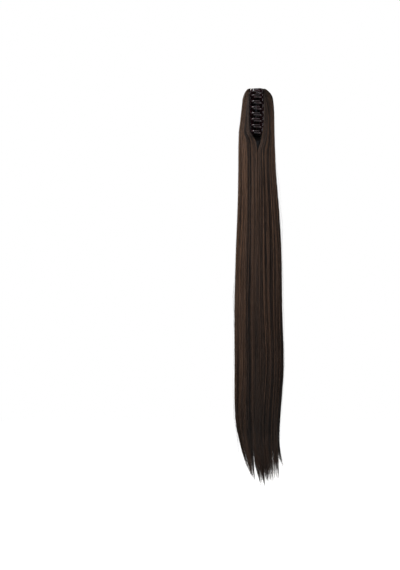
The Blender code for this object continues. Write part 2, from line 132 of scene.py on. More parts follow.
# The hair's form, in millimetres about the claw's mouth. It follows the solids', and stands a
# few millimetres above them at the top.
hairForm = {
    "sections": (  # z, left, right, front, back
        (47.0, -11.5, 14.0, 9.0, 31.0),
        (42.0, -17.5, 20.0, -2.0, 37.0),
        (35.0, -21.5, 27.0, -6.5, 42.0),
        (23.0, -24.6, 31.8, -8.5, 46.0),
        (2.0, -24.9, 33.9, -9.0, 49.0),
        (-25.0, -30.0, 34.5, -9.5, 49.0),
        (-50.0, -31.7, 34.5, -10.0, 46.0),
        (-90.0, -31.8, 35.5, -10.5, 38.0),
        (-180.0, -32.2, 40.5, -10.5, 30.0),
        (-250.0, -35.4, 44.2, -9.5, 27.0),
        (-360.0, -38.0, 44.6, -8.5, 25.0),
        (-470.0, -37.4, 48.0, -7.5, 24.0),
        (-560.0, -37.6, 41.0, -6.5, 22.0),
        (-600.0, -34.0, 38.5, -6.0, 20.0),
    ),
    "seamZ": -45.0,  # the sewn hair passes into the tail here
    "leastWall": 3.0,
    "crestShare": 0.70,  # the sewn wall closes to its crest from here up
}

# The hair sewn to each jaw: its span about the pin, its crest and its inner face.
sewnHair = {
    "left": {
        "span": (53.0, 236.0),
        "crest": ((53, 44.0), (74, 45.0), (96, 42.0), (117, 44.0), (150, 42.0), (190, 39.5),
                  (215, 35.8), (236, 31.8)),
        "hollow": ((53, 34.4), (93, 34.4), (104, 29.2), (119, 28.6), (136, 20.0), (160, 13.0),
                   (200, 11.0)),
        "limit": None,
        "body": "left_half",
        "frontEdge": 236.0,
    },
    "right": {
        "span": (-57.0, 47.0),
        "crest": ((-57, 31.5), (-42, 34.5), (-22, 38.5), (0, 41.3), (47, 43.0)),
        "hollow": ((-20, 11.0), (20, 13.0), (47, 18.5)),
        "limit": 33.2,  # radius where it turns under the left hair
        "tuck": (-4.0, 6.0),  # and between which angles it gets there
        "under": (53.0, 65.0, 78.0, 92.0),  # angles of the left hair that it swings under
        "apart": 5.4,  # and how far inside the left hair's face it stays
        "body": "right_half",
        "frontEdge": -57.0,
    },
}

# The tail's locks: angle about the tail, tip x, y, z, how late each bends away, and how much
# of its width its strands keep at the tip.
tailLocks = np.array((
    (0, 51.0, 7.0, -652.0, 4.3, 0.16),
    (26, 38.5, 12.0, -660.0, 3.0, 0.36),
    (52, 28.5, 15.0, -668.0, 2.2, 0.60),
    (77, 20.0, 16.0, -668.0, 2.2, 0.66),
    (103, 13.0, 15.0, -667.0, 2.0, 0.50),
    (128, -3.0, 12.0, -655.0, 2.2, 0.30),
    (154, -8.0, 10.0, -648.0, 3.0, 0.24),
    (180, -10.0, 7.0, -656.0, 2.3, 0.10),
    (206, -6.0, 3.0, -664.0, 2.6, 0.24),
    (232, -1.8, 0.0, -676.0, 2.2, 0.36),
    (257, 12.0, -2.0, -684.0, 2.1, 0.55),
    (283, 19.5, -2.0, -680.0, 2.2, 0.70),
    (308, 27.5, 0.0, -682.0, 2.2, 0.68),
    (334, 37.5, 3.0, -679.0, 2.8, 0.44),
))
lockTable = {"centreShare": 0.74, "freeZ": -545.0, "taper": (2.2, 0.8)}


def unit(vectors, least=0.0):
    # Vectors of length 1. least keeps one without a length from dividing by zero.
    return vectors / (np.linalg.norm(vectors, axis=-1, keepdims=True) + least)


def smoothColumn(rows, column, where):
    # Cubic Hermite curve through one column of a table, its slopes from the neighbours.
    table = np.array(sorted(rows), dtype=float)
    keys, values = table[:, 0], table[:, column]
    slopes = np.gradient(values, keys)
    where = np.clip(where, keys[0], keys[-1])
    index = np.clip(np.searchsorted(keys, where, side="right") - 1, 0, len(keys) - 2)
    span = keys[index + 1] - keys[index]
    t = (where - keys[index]) / span
    return ((2 * t**3 - 3 * t**2 + 1) * values[index]
            + (t**3 - 2 * t**2 + t) * span * slopes[index]
            + (3 * t**2 - 2 * t**3) * values[index + 1]
            + (t**3 - t**2) * span * slopes[index + 1])


def smoothstep(value):
    # 3 t^2 - 2 t^3, from 0 to 1.
    value = np.clip(value, 0.0, 1.0)
    return value * value * (3.0 - 2.0 * value)


def formAt(z):
    # Centre x, centre y, half width and half depth of the hair's outer ellipse at z.
    sides = (smoothColumn(hairForm["sections"], column, z) for column in (1, 2, 3, 4))
    left, right, front, back = sides
    return (left + right) / 2, (front + back) / 2, (right - left) / 2, (back - front) / 2


def outerRadius(phi, z):
    # Distance from the pin to that ellipse along the angle phi in degrees.
    cx, cy, wide, deep = formAt(z)
    ax, ay = np.cos(np.radians(phi)), np.sin(np.radians(phi))
    px, py = -cx, claw["pinY"] - cy
    a = (ax / wide) ** 2 + (ay / deep) ** 2
    b = px * ax / wide**2 + py * ay / deep**2
    c = (px / wide) ** 2 + (py / deep) ** 2 - 1.0
    return (-b + np.sqrt(np.maximum(b * b - a * c, 0.0))) / a


# The claw's form, in millimetres, which the hair goes by too.
claw = {
    "top": 40.0,
    "bottom": -42.4,
    "radius": 12.6,
    "bow": 0.21,  # share of the radius lost towards both ends
    "centreY": -1.0,
    "pinY": 12.0,
    "wall": 2.0,
    "edgeTurn": -8.0,  # where the side wall ends and the teeth begin, degrees
    "seatGap": 0.4,  # between the wall and the hair
}


def jawRadius(z):
    # The radius of the wall's middle: widest half way up, less by bow times the square.
    middle = (claw["top"] + claw["bottom"]) / 2
    share = (np.clip(z, claw["bottom"], claw["top"]) - middle) / (claw["top"] - middle)
    return claw["radius"] * (1.0 - claw["bow"] * share**2)


def jawFace(phi, z):
    # Distance from the pin to the outer face of the jaw's side wall, or 0 where none is met.
    radius = jawRadius(z) + claw["wall"] / 2 + claw["seatGap"]
    drop = claw["centreY"] - claw["pinY"]
    rise = drop * np.sin(np.radians(phi))
    inside = rise**2 - drop**2 + radius**2
    return np.where(inside > 0, rise + np.sqrt(np.maximum(inside, 0)), 0.0)


def swingLimit(z):
    # How far from the pin the right hair may reach and still pass under the left hair.
    right = sewnHair["right"]
    free = np.min([outerRadius(phi, z) for phi in right["under"]], axis=0)
    return np.minimum(right["limit"], free - right["apart"])


def sewnWall(side, phi, share):
    # Height, middle radius and half thickness of the sewn hair at a share of its height.
    part = sewnHair[side]
    top = smoothColumn(part["crest"], 1, phi)
    z = hairForm["seamZ"] + share * (top - hairForm["seamZ"])
    jaw = jawFace(phi, z)
    far = outerRadius(phi, z)
    if part["limit"]:
        start, end = part["tuck"]
        tucked = np.minimum(far, swingLimit(z))
        far = far + smoothstep((phi - start) / (end - start)) * (tucked - far)
    far = np.maximum(far, jaw + hairForm["leastWall"])
    near = np.minimum(np.interp(phi, *zip(*part["hollow"])), far - hairForm["leastWall"])
    near = np.maximum(near, jaw)
    return z, (far + near) / 2, (far - near) / 2


def aroundPin(angle, radius, z):
    # Points at an angle in radians and a radius about the pin.
    x, y = radius * np.cos(angle), claw["pinY"] + radius * np.sin(angle)
    return np.stack(np.broadcast_arrays(x, y, z), axis=-1)


def lanePoint(turn, reach, z):
    # A point of the tail: reach times the ellipse at the angle turn in radians.
    cx, cy, wide, deep = formAt(z)
    x, y = cx + reach * wide * np.cos(turn), cy + reach * deep * np.sin(turn)
    return np.stack([x, y, z], axis=-1)


def laneOf(point):
    # The angle and the reach that lanePoint makes a point from.
    cx, cy, wide, deep = formAt(point[..., 2])
    x, y = (point[..., 0] - cx) / wide, (point[..., 1] - cy) / deep
    return np.arctan2(y, x), np.hypot(x, y)


def nearestLock(turn):
    # The lock with the least angle to each lane, either way round.
    gap = np.abs((np.degrees(turn)[..., None] - tailLocks[:, 0] + 180.0) % 360.0 - 180.0)
    return np.argmin(gap, axis=-1)


def tailPath(turn, reach, z, lock, spread):
    # The lane down to where the locks part, then drawn in to the lock's own line and tip.
    # spread keeps a strand of the lock apart from the others as far as its end.
    lockTurn, tipX, tipY, tipZ, late, keep = np.moveaxis(tailLocks[lock], -1, 0)
    free = np.clip((lockTable["freeZ"] - z) / (lockTable["freeZ"] - tipZ), 0.0, 1.0)
    base = lanePoint(np.radians(lockTurn), np.full_like(z, lockTable["centreShare"]), z)
    pull = free**late
    line = base.copy()
    line[..., 0] += (tipX - base[..., 0]) * pull
    line[..., 1] += (tipY - base[..., 1]) * pull
    first, second = lockTable["taper"]
    taper = keep + (1.0 - keep) * (1.0 - free**first) ** second
    taper = taper + (1.0 - taper) * spread
    place = line + (lanePoint(turn, reach, z) - base) * taper[..., None]
    place[..., 2] = z
    return place


def newPiece(name, points, faces, material, uv=None):
    # points are in millimetres; faces is a list of arrays with 3 or 4 corners a row.
    mesh = bpy.data.meshes.new(name)
    corners = np.concatenate([face.ravel() for face in faces])
    totals = np.concatenate([np.full(len(face), face.shape[1]) for face in faces])
    starts = np.concatenate([[0], np.cumsum(totals)[:-1]])
    mesh.vertices.add(len(points))
    mesh.vertices.foreach_set("co", (points * mm).astype(np.float32).ravel())
    mesh.loops.add(len(corners))
    mesh.loops.foreach_set("vertex_index", corners.astype(np.int32))
    mesh.polygons.add(len(totals))
    mesh.polygons.foreach_set("loop_start", starts.astype(np.int32))
    mesh.polygons.foreach_set("use_smooth", np.ones(len(totals), dtype=bool))
    if uv is not None:
        layer = mesh.uv_layers.new(name="OFBake")
        layer.uv.foreach_set("vector", uv[corners].astype(np.float32).ravel())
    mesh.update(calc_edges=True)
    mesh.validate()
    piece = bpy.data.objects.new(name, mesh)
    bpy.context.scene.collection.objects.link(piece)
    mesh.materials.append(material)
    print(name, sum(len(face) * (face.shape[1] - 2) for face in faces), "triangles")
    return piece


hairMap = {"low": -690.0, "high": 60.0, "toneLow": 0.02, "toneSpan": 0.94, "sideStep": 0.004}
tube = {"axis": (2.0, 14.0, 0.0), "tilt": 2.0}  # mm: the line its rings face, how unevenly


def mapHeight(z):
    # The height on the hair's map, from 0 at its foot to 1.
    return (z - hairMap["low"]) / (hairMap["high"] - hairMap["low"])


def strandMesh(name, paths, radii, tone, material, sides=3):
    # Each path is a closed tapered tube: a ring of sides round every point, capped by one
    # face at each end. The map has the strand's tone along U and its height along V.
    count, rings = paths.shape[:2]
    along = unit(np.gradient(paths, axis=1), tiny)
    guide = paths - np.array(tube["axis"])
    guide[..., 2] = 0.0
    guide += dice.normal(0, tube["tilt"], (count, 1, 3))
    first = unit(np.cross(along, guide), tiny)
    second = np.cross(first, along)
    spin = dice.uniform(0, 2 * np.pi, (count, 1))
    points = np.empty((count, rings, sides, 3))
    for corner in range(sides):
        angle = spin + 2 * np.pi * corner / sides
        points[:, :, corner] = paths + radii[..., None] * (
            np.cos(angle)[..., None] * first + np.sin(angle)[..., None] * second)
    index = np.arange(count * rings * sides).reshape(count, rings, sides)
    after = np.roll(index, -1, axis=2)
    walls = np.stack([index[:, :-1], index[:, 1:], after[:, 1:], after[:, :-1]], axis=-1)
    uv = np.empty((count, rings, sides, 2))
    uv[..., 0] = hairMap["toneLow"] + hairMap["toneSpan"] * np.clip(tone, 0, 1)[:, :, None]
    uv[..., 0] += hairMap["sideStep"] * np.arange(sides) / (sides - 1)
    uv[..., 1] = mapHeight(paths[:, :, 2])[..., None]
    faces = [walls.reshape(-1, 4), index[:, 0, :], index[:, -1, ::-1]]
    return newPiece(name, points.reshape(-1, 3), faces, material, uv.reshape(-1, 2))


def nodeMaterial(name, colour, roughness, specular, metallic=0.0):
    material = bpy.data.materials.new(name)
    material.use_nodes = True
    shader = material.node_tree.nodes["Principled BSDF"]
    shader.inputs["Base Color"].default_value = tuple(colour) + (1,)
    shader.inputs["Roughness"].default_value = roughness
    shader.inputs["Specular IOR Level"].default_value = specular
    shader.inputs["Metallic"].default_value = metallic
    return material, material.node_tree, shader


def addNode(tree, kind, **settings):
    # Each setting is the value of an input by that name, or else a property of the node.
    node = tree.nodes.new(kind)
    for key, value in settings.items():
        if key in node.inputs:
            node.inputs[key].default_value = value
        else:
            setattr(node, key, value)
    return node


def rampNode(tree, stops):
    # A new ramp has two elements already, which take the first two stops.
    ramp = addNode(tree, "ShaderNodeValToRGB")
    elements = ramp.color_ramp.elements
    for index, (place, colour) in enumerate(stops):
        element = elements[index] if index < 2 else elements.new(place)
        element.position = place
        element.color = tuple(colour) + (1,)
    return ramp


hairColour = {
    "tones": (  # tone, linear colour
        (0.00, (0.0036, 0.0027, 0.0025)),
        (0.25, (0.0105, 0.0074, 0.0060)),
        (0.50, (0.0275, 0.0168, 0.0122)),
        (0.75, (0.0660, 0.0365, 0.0232)),
        (1.00, (0.1450, 0.0780, 0.0460)),
    ),
    # painted shade by height: darker by the claw at the top and over the lower tail, as in shadow,
    # full half way up
    "shadeByHeight": (  # share of the height, how light
        (0.00, 0.62), (0.06, 0.50), (0.15, 0.28), (0.40, 0.68), (0.62, 1.0), (0.88, 1.0),
        (0.97, 0.66),
    ),
    "roughness": 0.36,
    "specular": 0.15,
    "streak": (240.0, 9.0, 1.0),  # how fast a strand's tone changes across and along
    "streakDetail": 2.0,
    "streakShare": 0.22,
}


def hairMaterial(name):
    # Colour from the map: the tone along U, made uneven by a stretched noise, times a
    # painted shade along V, which darkens the hair by the claw at the top and over the lower tail.
    material, tree, shader = nodeMaterial(name, hairColour["tones"][2][1], hairColour["roughness"],
                                          hairColour["specular"])
    links = tree.links
    uv = addNode(tree, "ShaderNodeUVMap", uv_map="OFBake")
    split = addNode(tree, "ShaderNodeSeparateXYZ")
    links.new(uv.outputs["UV"], split.inputs[0])
    stretch = addNode(tree, "ShaderNodeVectorMath", operation="MULTIPLY")
    stretch.inputs[1].default_value = hairColour["streak"]
    links.new(uv.outputs["UV"], stretch.inputs[0])
    noise = addNode(tree, "ShaderNodeTexNoise", Scale=1.0, Detail=hairColour["streakDetail"])
    links.new(stretch.outputs[0], noise.inputs["Vector"])
    shift = addNode(tree, "ShaderNodeMath", operation="MULTIPLY_ADD")
    shift.inputs[1].default_value = hairColour["streakShare"]
    shift.inputs[2].default_value = -hairColour["streakShare"] / 2
    links.new(noise.outputs[0], shift.inputs[0])
    toned = addNode(tree, "ShaderNodeMath", operation="ADD")
    links.new(split.outputs["X"], toned.inputs[0])
    links.new(shift.outputs[0], toned.inputs[1])
    tones = rampNode(tree, hairColour["tones"])
    links.new(toned.outputs[0], tones.inputs[0])
    # the painted shade along V
    shadeByHeight = rampNode(tree, [(place, (light,) * 3) for place, light in hairColour["shadeByHeight"]])
    links.new(split.outputs["Y"], shadeByHeight.inputs[0])
    shade = addNode(tree, "ShaderNodeMix", data_type="RGBA", blend_type="MULTIPLY")
    shade.inputs["Factor"].default_value = 1.0
    colourIn = [socket for socket in shade.inputs if socket.type == "RGBA"]
    colourOut = [socket for socket in shade.outputs if socket.type == "RGBA"]
    links.new(tones.outputs[0], colourIn[0])
    links.new(shadeByHeight.outputs[0], colourIn[1])
    links.new(colourOut[0], shader.inputs["Base Color"])
    return material


# Light and dark streaks round the hair: for each part of it a tone that is mostly painted light and
# shade, the front-left lanes lighter as lit from the left and the lanes beside the claw darker, with
# uneven tone of its own; and fine waves.
streaks = {
    # painted light and shade round the tail: front-left lanes lighter as lit from the left, lanes
    # beside the claw darker, the rest uneven tone
    "paintedLightAndTone": (  # degrees about the tail, lighter or darker
        (0, -0.02), (45, 0.04), (90, 0.0), (135, 0.04), (165, 0.06), (184, 0.23), (205, 0.25),
        (228, 0.23), (239, -0.04), (252, -0.13), (264, -0.02), (274, 0.02), (286, -0.08),
        (302, -0.04), (316, 0.10), (334, 0.11), (349, -0.14),
    ),
    "waves": (11, 18, 27, 35, 44, 56, 69, 84, 101, 123),
    "middle": 0.575,
    "strength": 0.25,
    "relief": 0.75,  # mm that a light streak stands out and a dark one lies back
    "depthShade": (0.75, -0.25),  # darker further in, and down to which depth
    "rootShade": (0.34, 11.0),  # how much darker at the sewn end, and over how many mm
    "clawShade": (0.34, 3.2, 4.0),  # and beside the claw, and how far below it that starts
}
wavePhase = dice.uniform(0, 2 * np.pi, len(streaks["waves"]))


def streakAt(turn):
    # Sum of equal sines round the hair, with a spread of about 1.
    often = np.array(streaks["waves"], dtype=float)
    return (np.sqrt(2.0 / len(often)) * np.sin(often * turn[..., None] + wavePhase)).sum(axis=-1)


def laneTone(turn, layer, clumpTone):
    # A strand's tone: its part's, mostly painted light and shade, its streak's, a painted shade for
    # its depth, and its clump's, added.
    # the part's painted light and shade, with its uneven tone
    table = np.array(streaks["paintedLightAndTone"])
    paintedLightAndTone = np.interp(np.degrees(turn) % 360.0, table[:, 0], table[:, 1], period=360.0)
    # painted shade: strands further in are darkened, as if shadowed by those over them
    darker, deepest = streaks["depthShade"]
    deep = darker * np.clip(layer - 1.0, deepest, 0.0)
    return streaks["middle"] + paintedLightAndTone + streaks["strength"] * streakAt(turn) + deep + clumpTone


# The strands sewn over each jaw's crest, in clumps.
strands = {
    "clumps": {"left": 146, "right": 90},
    "jitter": (0.1, 0.9),  # where in its even share a clump lies
    "frontClumps": {"left": 20, "right": 16},  # more where the hair closes below the claw
    "frontWidth": 26.0,  # degrees of the span that these fill
    "frontShares": (0.02, 1.0),
    "endClumps": 16,  # over the front end of the sewn hair, at every depth
    "endWidth": (0.4, 3.2),
    "endLayers": (0.1, 0.95),
    "perClump": 20,
    "clumpHalf": (1.1, 2.9),  # mm
    "scatter": (0.5, 1.2),  # a strand's place in its clump: spread and limit
    "meanRadius": 30.0,  # mm from the pin
    "margin": 0.5,  # degrees left free at both ends of the span
    "layers": (0.78, 0.88, 0.95, 1.0, 1.02),
    "layerScatter": 0.018,
    "layerRange": (0.05, 1.03),
    "layerTop": (0.55, 1.01),  # how much of a layer's depth shows at the crest, up to
    "square": 0.74,  # below 1 the shoulders are fuller than the wall's own arc
    "toneScatter": 0.055,
    "radius": (0.10, 0.21),  # mm
    "rootWidth": 0.6,  # share of the radius at the root
    "taper": (0.16, 70.0),  # share of the radius left at the tip, and over how many mm
    "rings": 18,
    "ringJitter": 0.35,
    "bendShare": 0.30,  # how much closer the rings lie where a strand bends
    "crestStart": 168.0,  # degrees over the crest, from the inner face
    "crestRows": 14,
    "wallRows": 11,
    "tailRows": 32,
    "tailPower": 1.5,  # closer rows at the top of the tail
    "stray": (0.03, 0.07, 0.45),  # share that stand off, how far, and how thin they are
    "fan": {"left": (170.0, 236.0), "right": (12.0, -57.0)},
    "fanPower": 1.9,
    "fanShares": (0.36, 0.94),  # it opens between these shares of the wall's height
    "crossing": (0.10, 0.14, 0.025),  # share that cross to other locks, radians, the others'
    "clumpShort": (58.0, 1.1, 2.4),  # mm a clump may end above its lock's tip, beta shapes
    "strandShort": (42.0, 1.0, 2.6),
    "gather": (110.0, 0.74, 1.3),  # over how many mm a clump's end draws in, how far, power
}


def jittered(low, high, count):
    # Even places from low to high, each moved within its own share.
    return low + (high - low) * (np.arange(count) + dice.uniform(*strands["jitter"], count)) / count


def clumpSet(side):
    # Each clump has an angle about the pin, a layer, a tone, phases and a length of its own.
    low, high = sewnHair[side]["span"]
    count, extra = strands["clumps"][side], strands["frontClumps"][side]
    even = jittered(low, high, count)
    edge = sewnHair[side]["frontEdge"]
    inward = -1.0 if edge == high else 1.0
    front = edge + inward * strands["frontWidth"] * dice.uniform(*strands["frontShares"], extra)
    ends = strands["endClumps"]
    end = edge + inward * dice.uniform(*strands["endWidth"], ends)
    total = count + extra + ends
    layer = dice.choice(strands["layers"], total)
    layer[-ends:] = np.linspace(*strands["endLayers"], ends)
    crossing, far, near = strands["crossing"]
    return {
        "phi": np.concatenate([even, front, end]),
        "half": dice.uniform(*strands["clumpHalf"], total),
        "layer": layer,
        "tone": dice.normal(0, strands["toneScatter"], total),
        "phase": dice.uniform(0, 2 * np.pi, (total, 3)),
        "short": dice.beta(*strands["clumpShort"][1:], total),
        "cross": np.where(dice.random(total) < crossing, dice.normal(0, far, total),
                          dice.normal(0, near, total)),
    }


vShape = {
    "meetTurn": 270.5,  # where left and right hair meet, degrees about the tail
    "top": -40.5,
    "close": {"left": -72.0, "right": -76.0},
    "edge": {"left": 245.0, "right": 290.0},  # the lanes beside the claw
    "still": {"left": 185.0, "right": 345.0},  # the lanes that don't move
}


def closeFront(side, turn, z):
    # Below the claw the lanes next to its sides are spread until left and right hair meet.
    # The left hair sweeps in at once, 1 - (1 - t)^3, and the right hair slowly.
    edge, still = vShape["edge"][side], vShape["still"][side]
    degrees = np.degrees(turn) % 360.0
    share = np.clip((degrees - still) / (edge - still), 0.0, 1.0)
    if side == "right":
        share = np.where(degrees < 180.0, 0.0, share)
    t = np.clip((vShape["top"] - z) / (vShape["top"] - vShape["close"][side]), 0.0, 1.0)
    run = 1.0 - (1.0 - t) ** 3 if side == "left" else smoothstep(t)
    return np.radians(share * (vShape["meetTurn"] - edge))[:, None] * run


def fanOut(side, phi, share):
    # Near the crest the strands lie gathered towards the claw, and fan out as they fall.
    outer, edge = strands["fan"][side]
    part = np.clip((phi - outer) / (edge - outer), 0.0, 1.0)
    gathered = outer + (edge - outer) * (1.0 - (1.0 - part) ** strands["fanPower"])
    low, high = strands["fanShares"]
    return phi + np.where(part > 0, gathered - phi, 0.0) * smoothstep((share - low) / (high - low))


# How the strands run down the tail, in mm of fall below the seam.
tailRun = {
    "settle": 140.0,  # over which they take their own depth
    "crossOver": 330.0,  # over which a crossing clump gets to its other lock
    "depthKept": 0.45,  # how much of its layer's depth a strand keeps
    "leastReach": 0.90,
    "breath": (0.010, 75.0),  # in and out: share of the reach, length
    "swell": (0.32, 68.0),  # wider and narrower: share of the width, length
    "together": ((1.0, 95.0, 2.0), (0.6, 51.0, -5.0)),  # sideways: height, length, twist
    "alone": ((1.0, 83.0, 0), (0.6, 39.0, 1)),  # height, length, which phase
    "wander": (0.030, 0.010),  # radians, together and each clump alone
    "spread": (0.45, 1.1, 5.0),  # most of its width that a strand keeps, beta shapes
    "closedZ": -90.0,  # left and right hair have met here
}


def closedLane(side, turn):
    # The lane that a strand has once left and right hair have met.
    return turn + closeFront(side, turn, np.full((len(turn), 1), tailRun["closedZ"]))[:, 0]


def tailRows(side, clumps, index, startTurn, middleTurn, startReach, layer, topZ, shares):
    # The points down the tail: lanes round the ellipse that wander together, each clump
    # drawn in towards its own end, and the locks' ends after tailPath.
    n = len(index)
    phase, cross = clumps["phase"][index], clumps["cross"][index]
    closed = closedLane(side, middleTurn)
    lock = nearestLock(closed + cross)
    strandShort, *shapes = strands["strandShort"]
    endZ = (tailLocks[lock, 3] + clumps["short"][index] * strands["clumpShort"][0]
            + dice.beta(*shapes, n) * strandShort)
    z = topZ[:, None] + shares[None, :] * (endZ - topZ)[:, None]
    run = hairForm["seamZ"] - z
    settle = smoothstep(run / tailRun["settle"])
    wide, deep = formAt(z)[2:]
    scale = np.hypot(wide * np.cos(closed)[:, None], deep * np.sin(closed)[:, None])
    relief = streaks["relief"] * streakAt(closed)[:, None] / scale
    goal = 1.0 - tailRun["depthKept"] * (1.0 - layer[:, None])
    goal = np.maximum(goal, tailRun["leastReach"]) + relief
    reach = startReach[:, None] + settle * (goal - startReach[:, None])
    height, length = tailRun["breath"]
    reach = reach * (1.0 + height * np.sin(run / length + phase[:, 2:3]) * settle)
    wave = sum(height * np.sin(run / length + twist * closed[:, None])
               for height, length, twist in tailRun["together"])
    alone = sum(height * np.sin(run / length + phase[:, column:column + 1])
                for height, length, column in tailRun["alone"])
    together, single = tailRun["wander"]
    over, drawn, power = strands["gather"]
    ended = np.clip((endZ[:, None] + over - z) / over, 0.0, 1.0)
    height, length = tailRun["swell"]
    width = ((1.0 + height * np.sin(run / length + phase[:, 1:2]) * settle)
             * (1.0 - drawn * ended**power))
    turn = startTurn[:, None] + closeFront(side, startTurn, z)
    turn = turn - (startTurn - middleTurn)[:, None] * (1.0 - width)
    turn = turn + (together * wave + single * alone) * settle
    turn = turn + cross[:, None] * smoothstep(run / tailRun["crossOver"])
    most, *shapes = tailRun["spread"]
    spread = (dice.beta(*shapes, n) * most)[:, None]
    locks = np.repeat(lock[:, None], z.shape[1], axis=1)
    return tailPath(turn, reach, z, locks, spread), closedLane(side, startTurn)


def sewnRows(side, phi, layer):
    # Over the crest from the inner face and down the outer one, for rows of the wall's share.
    # The crest's section is |cos|^square by sin^square.
    start, closes = strands["crestStart"], hairForm["crestShare"]
    shows, most = strands["layerTop"]
    turns = np.radians(np.linspace(start, 0.0, strands["crestRows"]))[None, :]
    crestLayer = 1.0 - shows * (1.0 - np.minimum(layer, most)[:, None])
    rise = np.sin(turns) ** strands["square"]
    crest = closes + (1 - closes) * crestLayer * rise
    over = np.sign(np.cos(turns)) * np.abs(np.cos(turns)) ** strands["square"] + 0 * crest
    lower = np.linspace(closes, 0.0, strands["wallRows"])[None, 1:-1] + np.zeros((len(phi), 1))
    share = np.concatenate([crest, lower], axis=1)
    across = np.concatenate([over, np.ones_like(lower)], axis=1)
    phiRow = fanOut(side, phi[:, None] + 0 * share, share)
    z, middle, half = sewnWall(side, phiRow, share)
    points = aroundPin(np.radians(phiRow), middle + half * layer[:, None] * across, z)
    turn, reach = laneOf(points[:, -1])
    wallRows = slice(crest.shape[1], None)
    laneTurn, laneReach = laneOf(points[:, wallRows])
    laneZ = points[:, wallRows, 2]
    points[:, wallRows] = lanePoint(laneTurn + closeFront(side, turn, laneZ), laneReach, laneZ)
    return points, turn, reach


def crestPaths(side, clumps):
    # Strands sewn to a jaw: over the crest, down the outer form, and along the tail's lanes.
    index = np.repeat(np.arange(len(clumps["phi"])), strands["perClump"])
    n = len(index)
    low, high = sewnHair[side]["span"]
    spread, limit = strands["scatter"]
    offset = dice.normal(0, spread, n).clip(-limit, limit)
    offset = np.degrees(clumps["half"][index] * offset / strands["meanRadius"])
    phi = np.clip(clumps["phi"][index] + offset, low + strands["margin"], high - strands["margin"])
    layer = clumps["layer"][index] + dice.normal(0, strands["layerScatter"], n)
    layer = np.clip(layer, *strands["layerRange"])
    often, far, thin = strands["stray"]
    stray = dice.random(n) < often
    layer = np.where(stray, 1.0 + np.abs(dice.normal(0, far, n)), layer)
    upper, turn, reach = sewnRows(side, phi, layer)
    middle = sewnRows(side, clumps["phi"], clumps["layer"])[1][index]
    bottom = np.full(n, hairForm["seamZ"])
    shares = np.linspace(0.0, 1.0, strands["tailRows"]) ** strands["tailPower"]
    tail, closed = tailRows(side, clumps, index, turn, middle, reach, layer, bottom, shares)
    tone = laneTone(closed, layer, clumps["tone"][index])
    tone = tone + dice.normal(0, strands["toneScatter"], n)
    return np.concatenate([upper, tail], axis=1), tone, np.where(stray, thin, 1.0)


# The strands sewn along each jaw's front edge.
rails = {
    "clumps": {"left": 50, "right": 42},
    "perClump": 17,
    "rootZ": (-38.0, 36.0),
    "rootScatter": 0.8,
    "rootPast": (2.0, 1.5),  # mm that roots may lie below and above that
    "rootGap": 0.2,  # between a root and the wall's outer face
    "rootDeep": 3.0,  # how far back the roots reach
    "swing": (3.0, 27.0),  # degrees outwards, for the lowest and the highest
    "swingPower": 1.3,
    "swingShares": (0.3, 1.3),  # by how much the clumps' swings differ
    "swingScatter": 1.6,
    "turnFall": 30.0,  # mm of fall over which a strand swings out
    "liftFall": 8.0,  # mm of fall over which it comes to the surface
    "fall": 64.0,
    "fallRows": 20,
    "fallPower": 1.5,
    "leastZ": -52.0,  # every strand has swung out by here
    "layers": (0.93, 1.01),
    "layerScatter": 0.012,
    "layerRange": (0.9, 1.03),
    "lengths": (1.2, 2.5),
    "crossing": 0.05,
    "tailRows": 26,
    "tailPower": 1.3,
    "toneScatter": (0.10, 0.06),  # of the clumps, of the strands
    "rings": 16,
}


def railPaths(side):
    # Strands sewn along the jaw's front edge: out over the hair beside it, 1 - exp(-fall),
    # slanting down and away from the claw, the high ones furthest.
    groups, each = rails["clumps"][side], rails["perClump"]
    index = np.repeat(np.arange(groups), each)
    n = len(index)
    sign = -1.0 if side == "left" else 1.0
    low, high = rails["rootZ"]
    below, above = rails["rootPast"]
    clumpRoot = jittered(low, high, groups)
    rootZ = clumpRoot[index] + dice.normal(0, rails["rootScatter"], n)
    rootZ = np.clip(rootZ, low - below, high + above)
    lift = (clumpRoot - low) / (high - low)
    edge = math.radians(claw["edgeTurn"])
    radius = jawRadius(rootZ) + claw["wall"] / 2 + rails["rootGap"]
    rootY = claw["centreY"] + radius * np.sin(edge) + dice.uniform(0, rails["rootDeep"], n)
    root = np.stack([sign * radius * np.cos(edge), rootY, rootZ], axis=-1)
    rootTurn, rootReach = laneOf(root)
    near, far = rails["swing"]
    swing = near + (far - near) * lift ** rails["swingPower"]
    swing = (swing * dice.uniform(*rails["swingShares"], groups))[index]
    swing = swing + dice.normal(0, rails["swingScatter"], n)
    finish = rootTurn + sign * np.radians(swing)
    middle = np.array([finish[index == group].mean() for group in range(groups)])[index]
    fall = np.linspace(0.0, 1.0, rails["fallRows"])[None, :] ** rails["fallPower"] * rails["fall"]
    fall = fall * np.maximum((rootZ - rails["leastZ"]) / rails["fall"], 1.0)[:, None]
    z = rootZ[:, None] - fall
    layer = dice.uniform(*rails["layers"], groups)[index] + dice.normal(0, rails["layerScatter"], n)
    layer = np.clip(layer, *rails["layerRange"])
    ease = 1.0 - np.exp(-fall / rails["turnFall"])
    rise = 1.0 - np.exp(-fall / rails["liftFall"])
    turn = rootTurn[:, None] + ease * (finish - rootTurn)[:, None]
    reach = rootReach[:, None] + rise * (layer - rootReach)[:, None]
    upper = lanePoint(turn + closeFront(side, finish, z), reach, z)
    clumps = {
        "phase": dice.uniform(0, 2 * np.pi, (groups, 3)),
        "short": dice.beta(*rails["lengths"], groups),
        "cross": dice.normal(0, rails["crossing"], groups),
    }
    shares = np.linspace(0.0, 1.0, rails["tailRows"])[1:] ** rails["tailPower"]
    tail, closed = tailRows(side, clumps, index, turn[:, -1], middle, reach[:, -1], layer, z[:, -1],
                            shares)
    ofClump, ofStrand = rails["toneScatter"]
    tone = laneTone(closed, layer, dice.normal(0.0, ofClump, groups)[index])
    tone = tone + dice.normal(0, ofStrand, n)
    return np.concatenate([upper, tail], axis=1), tone, np.ones(n)


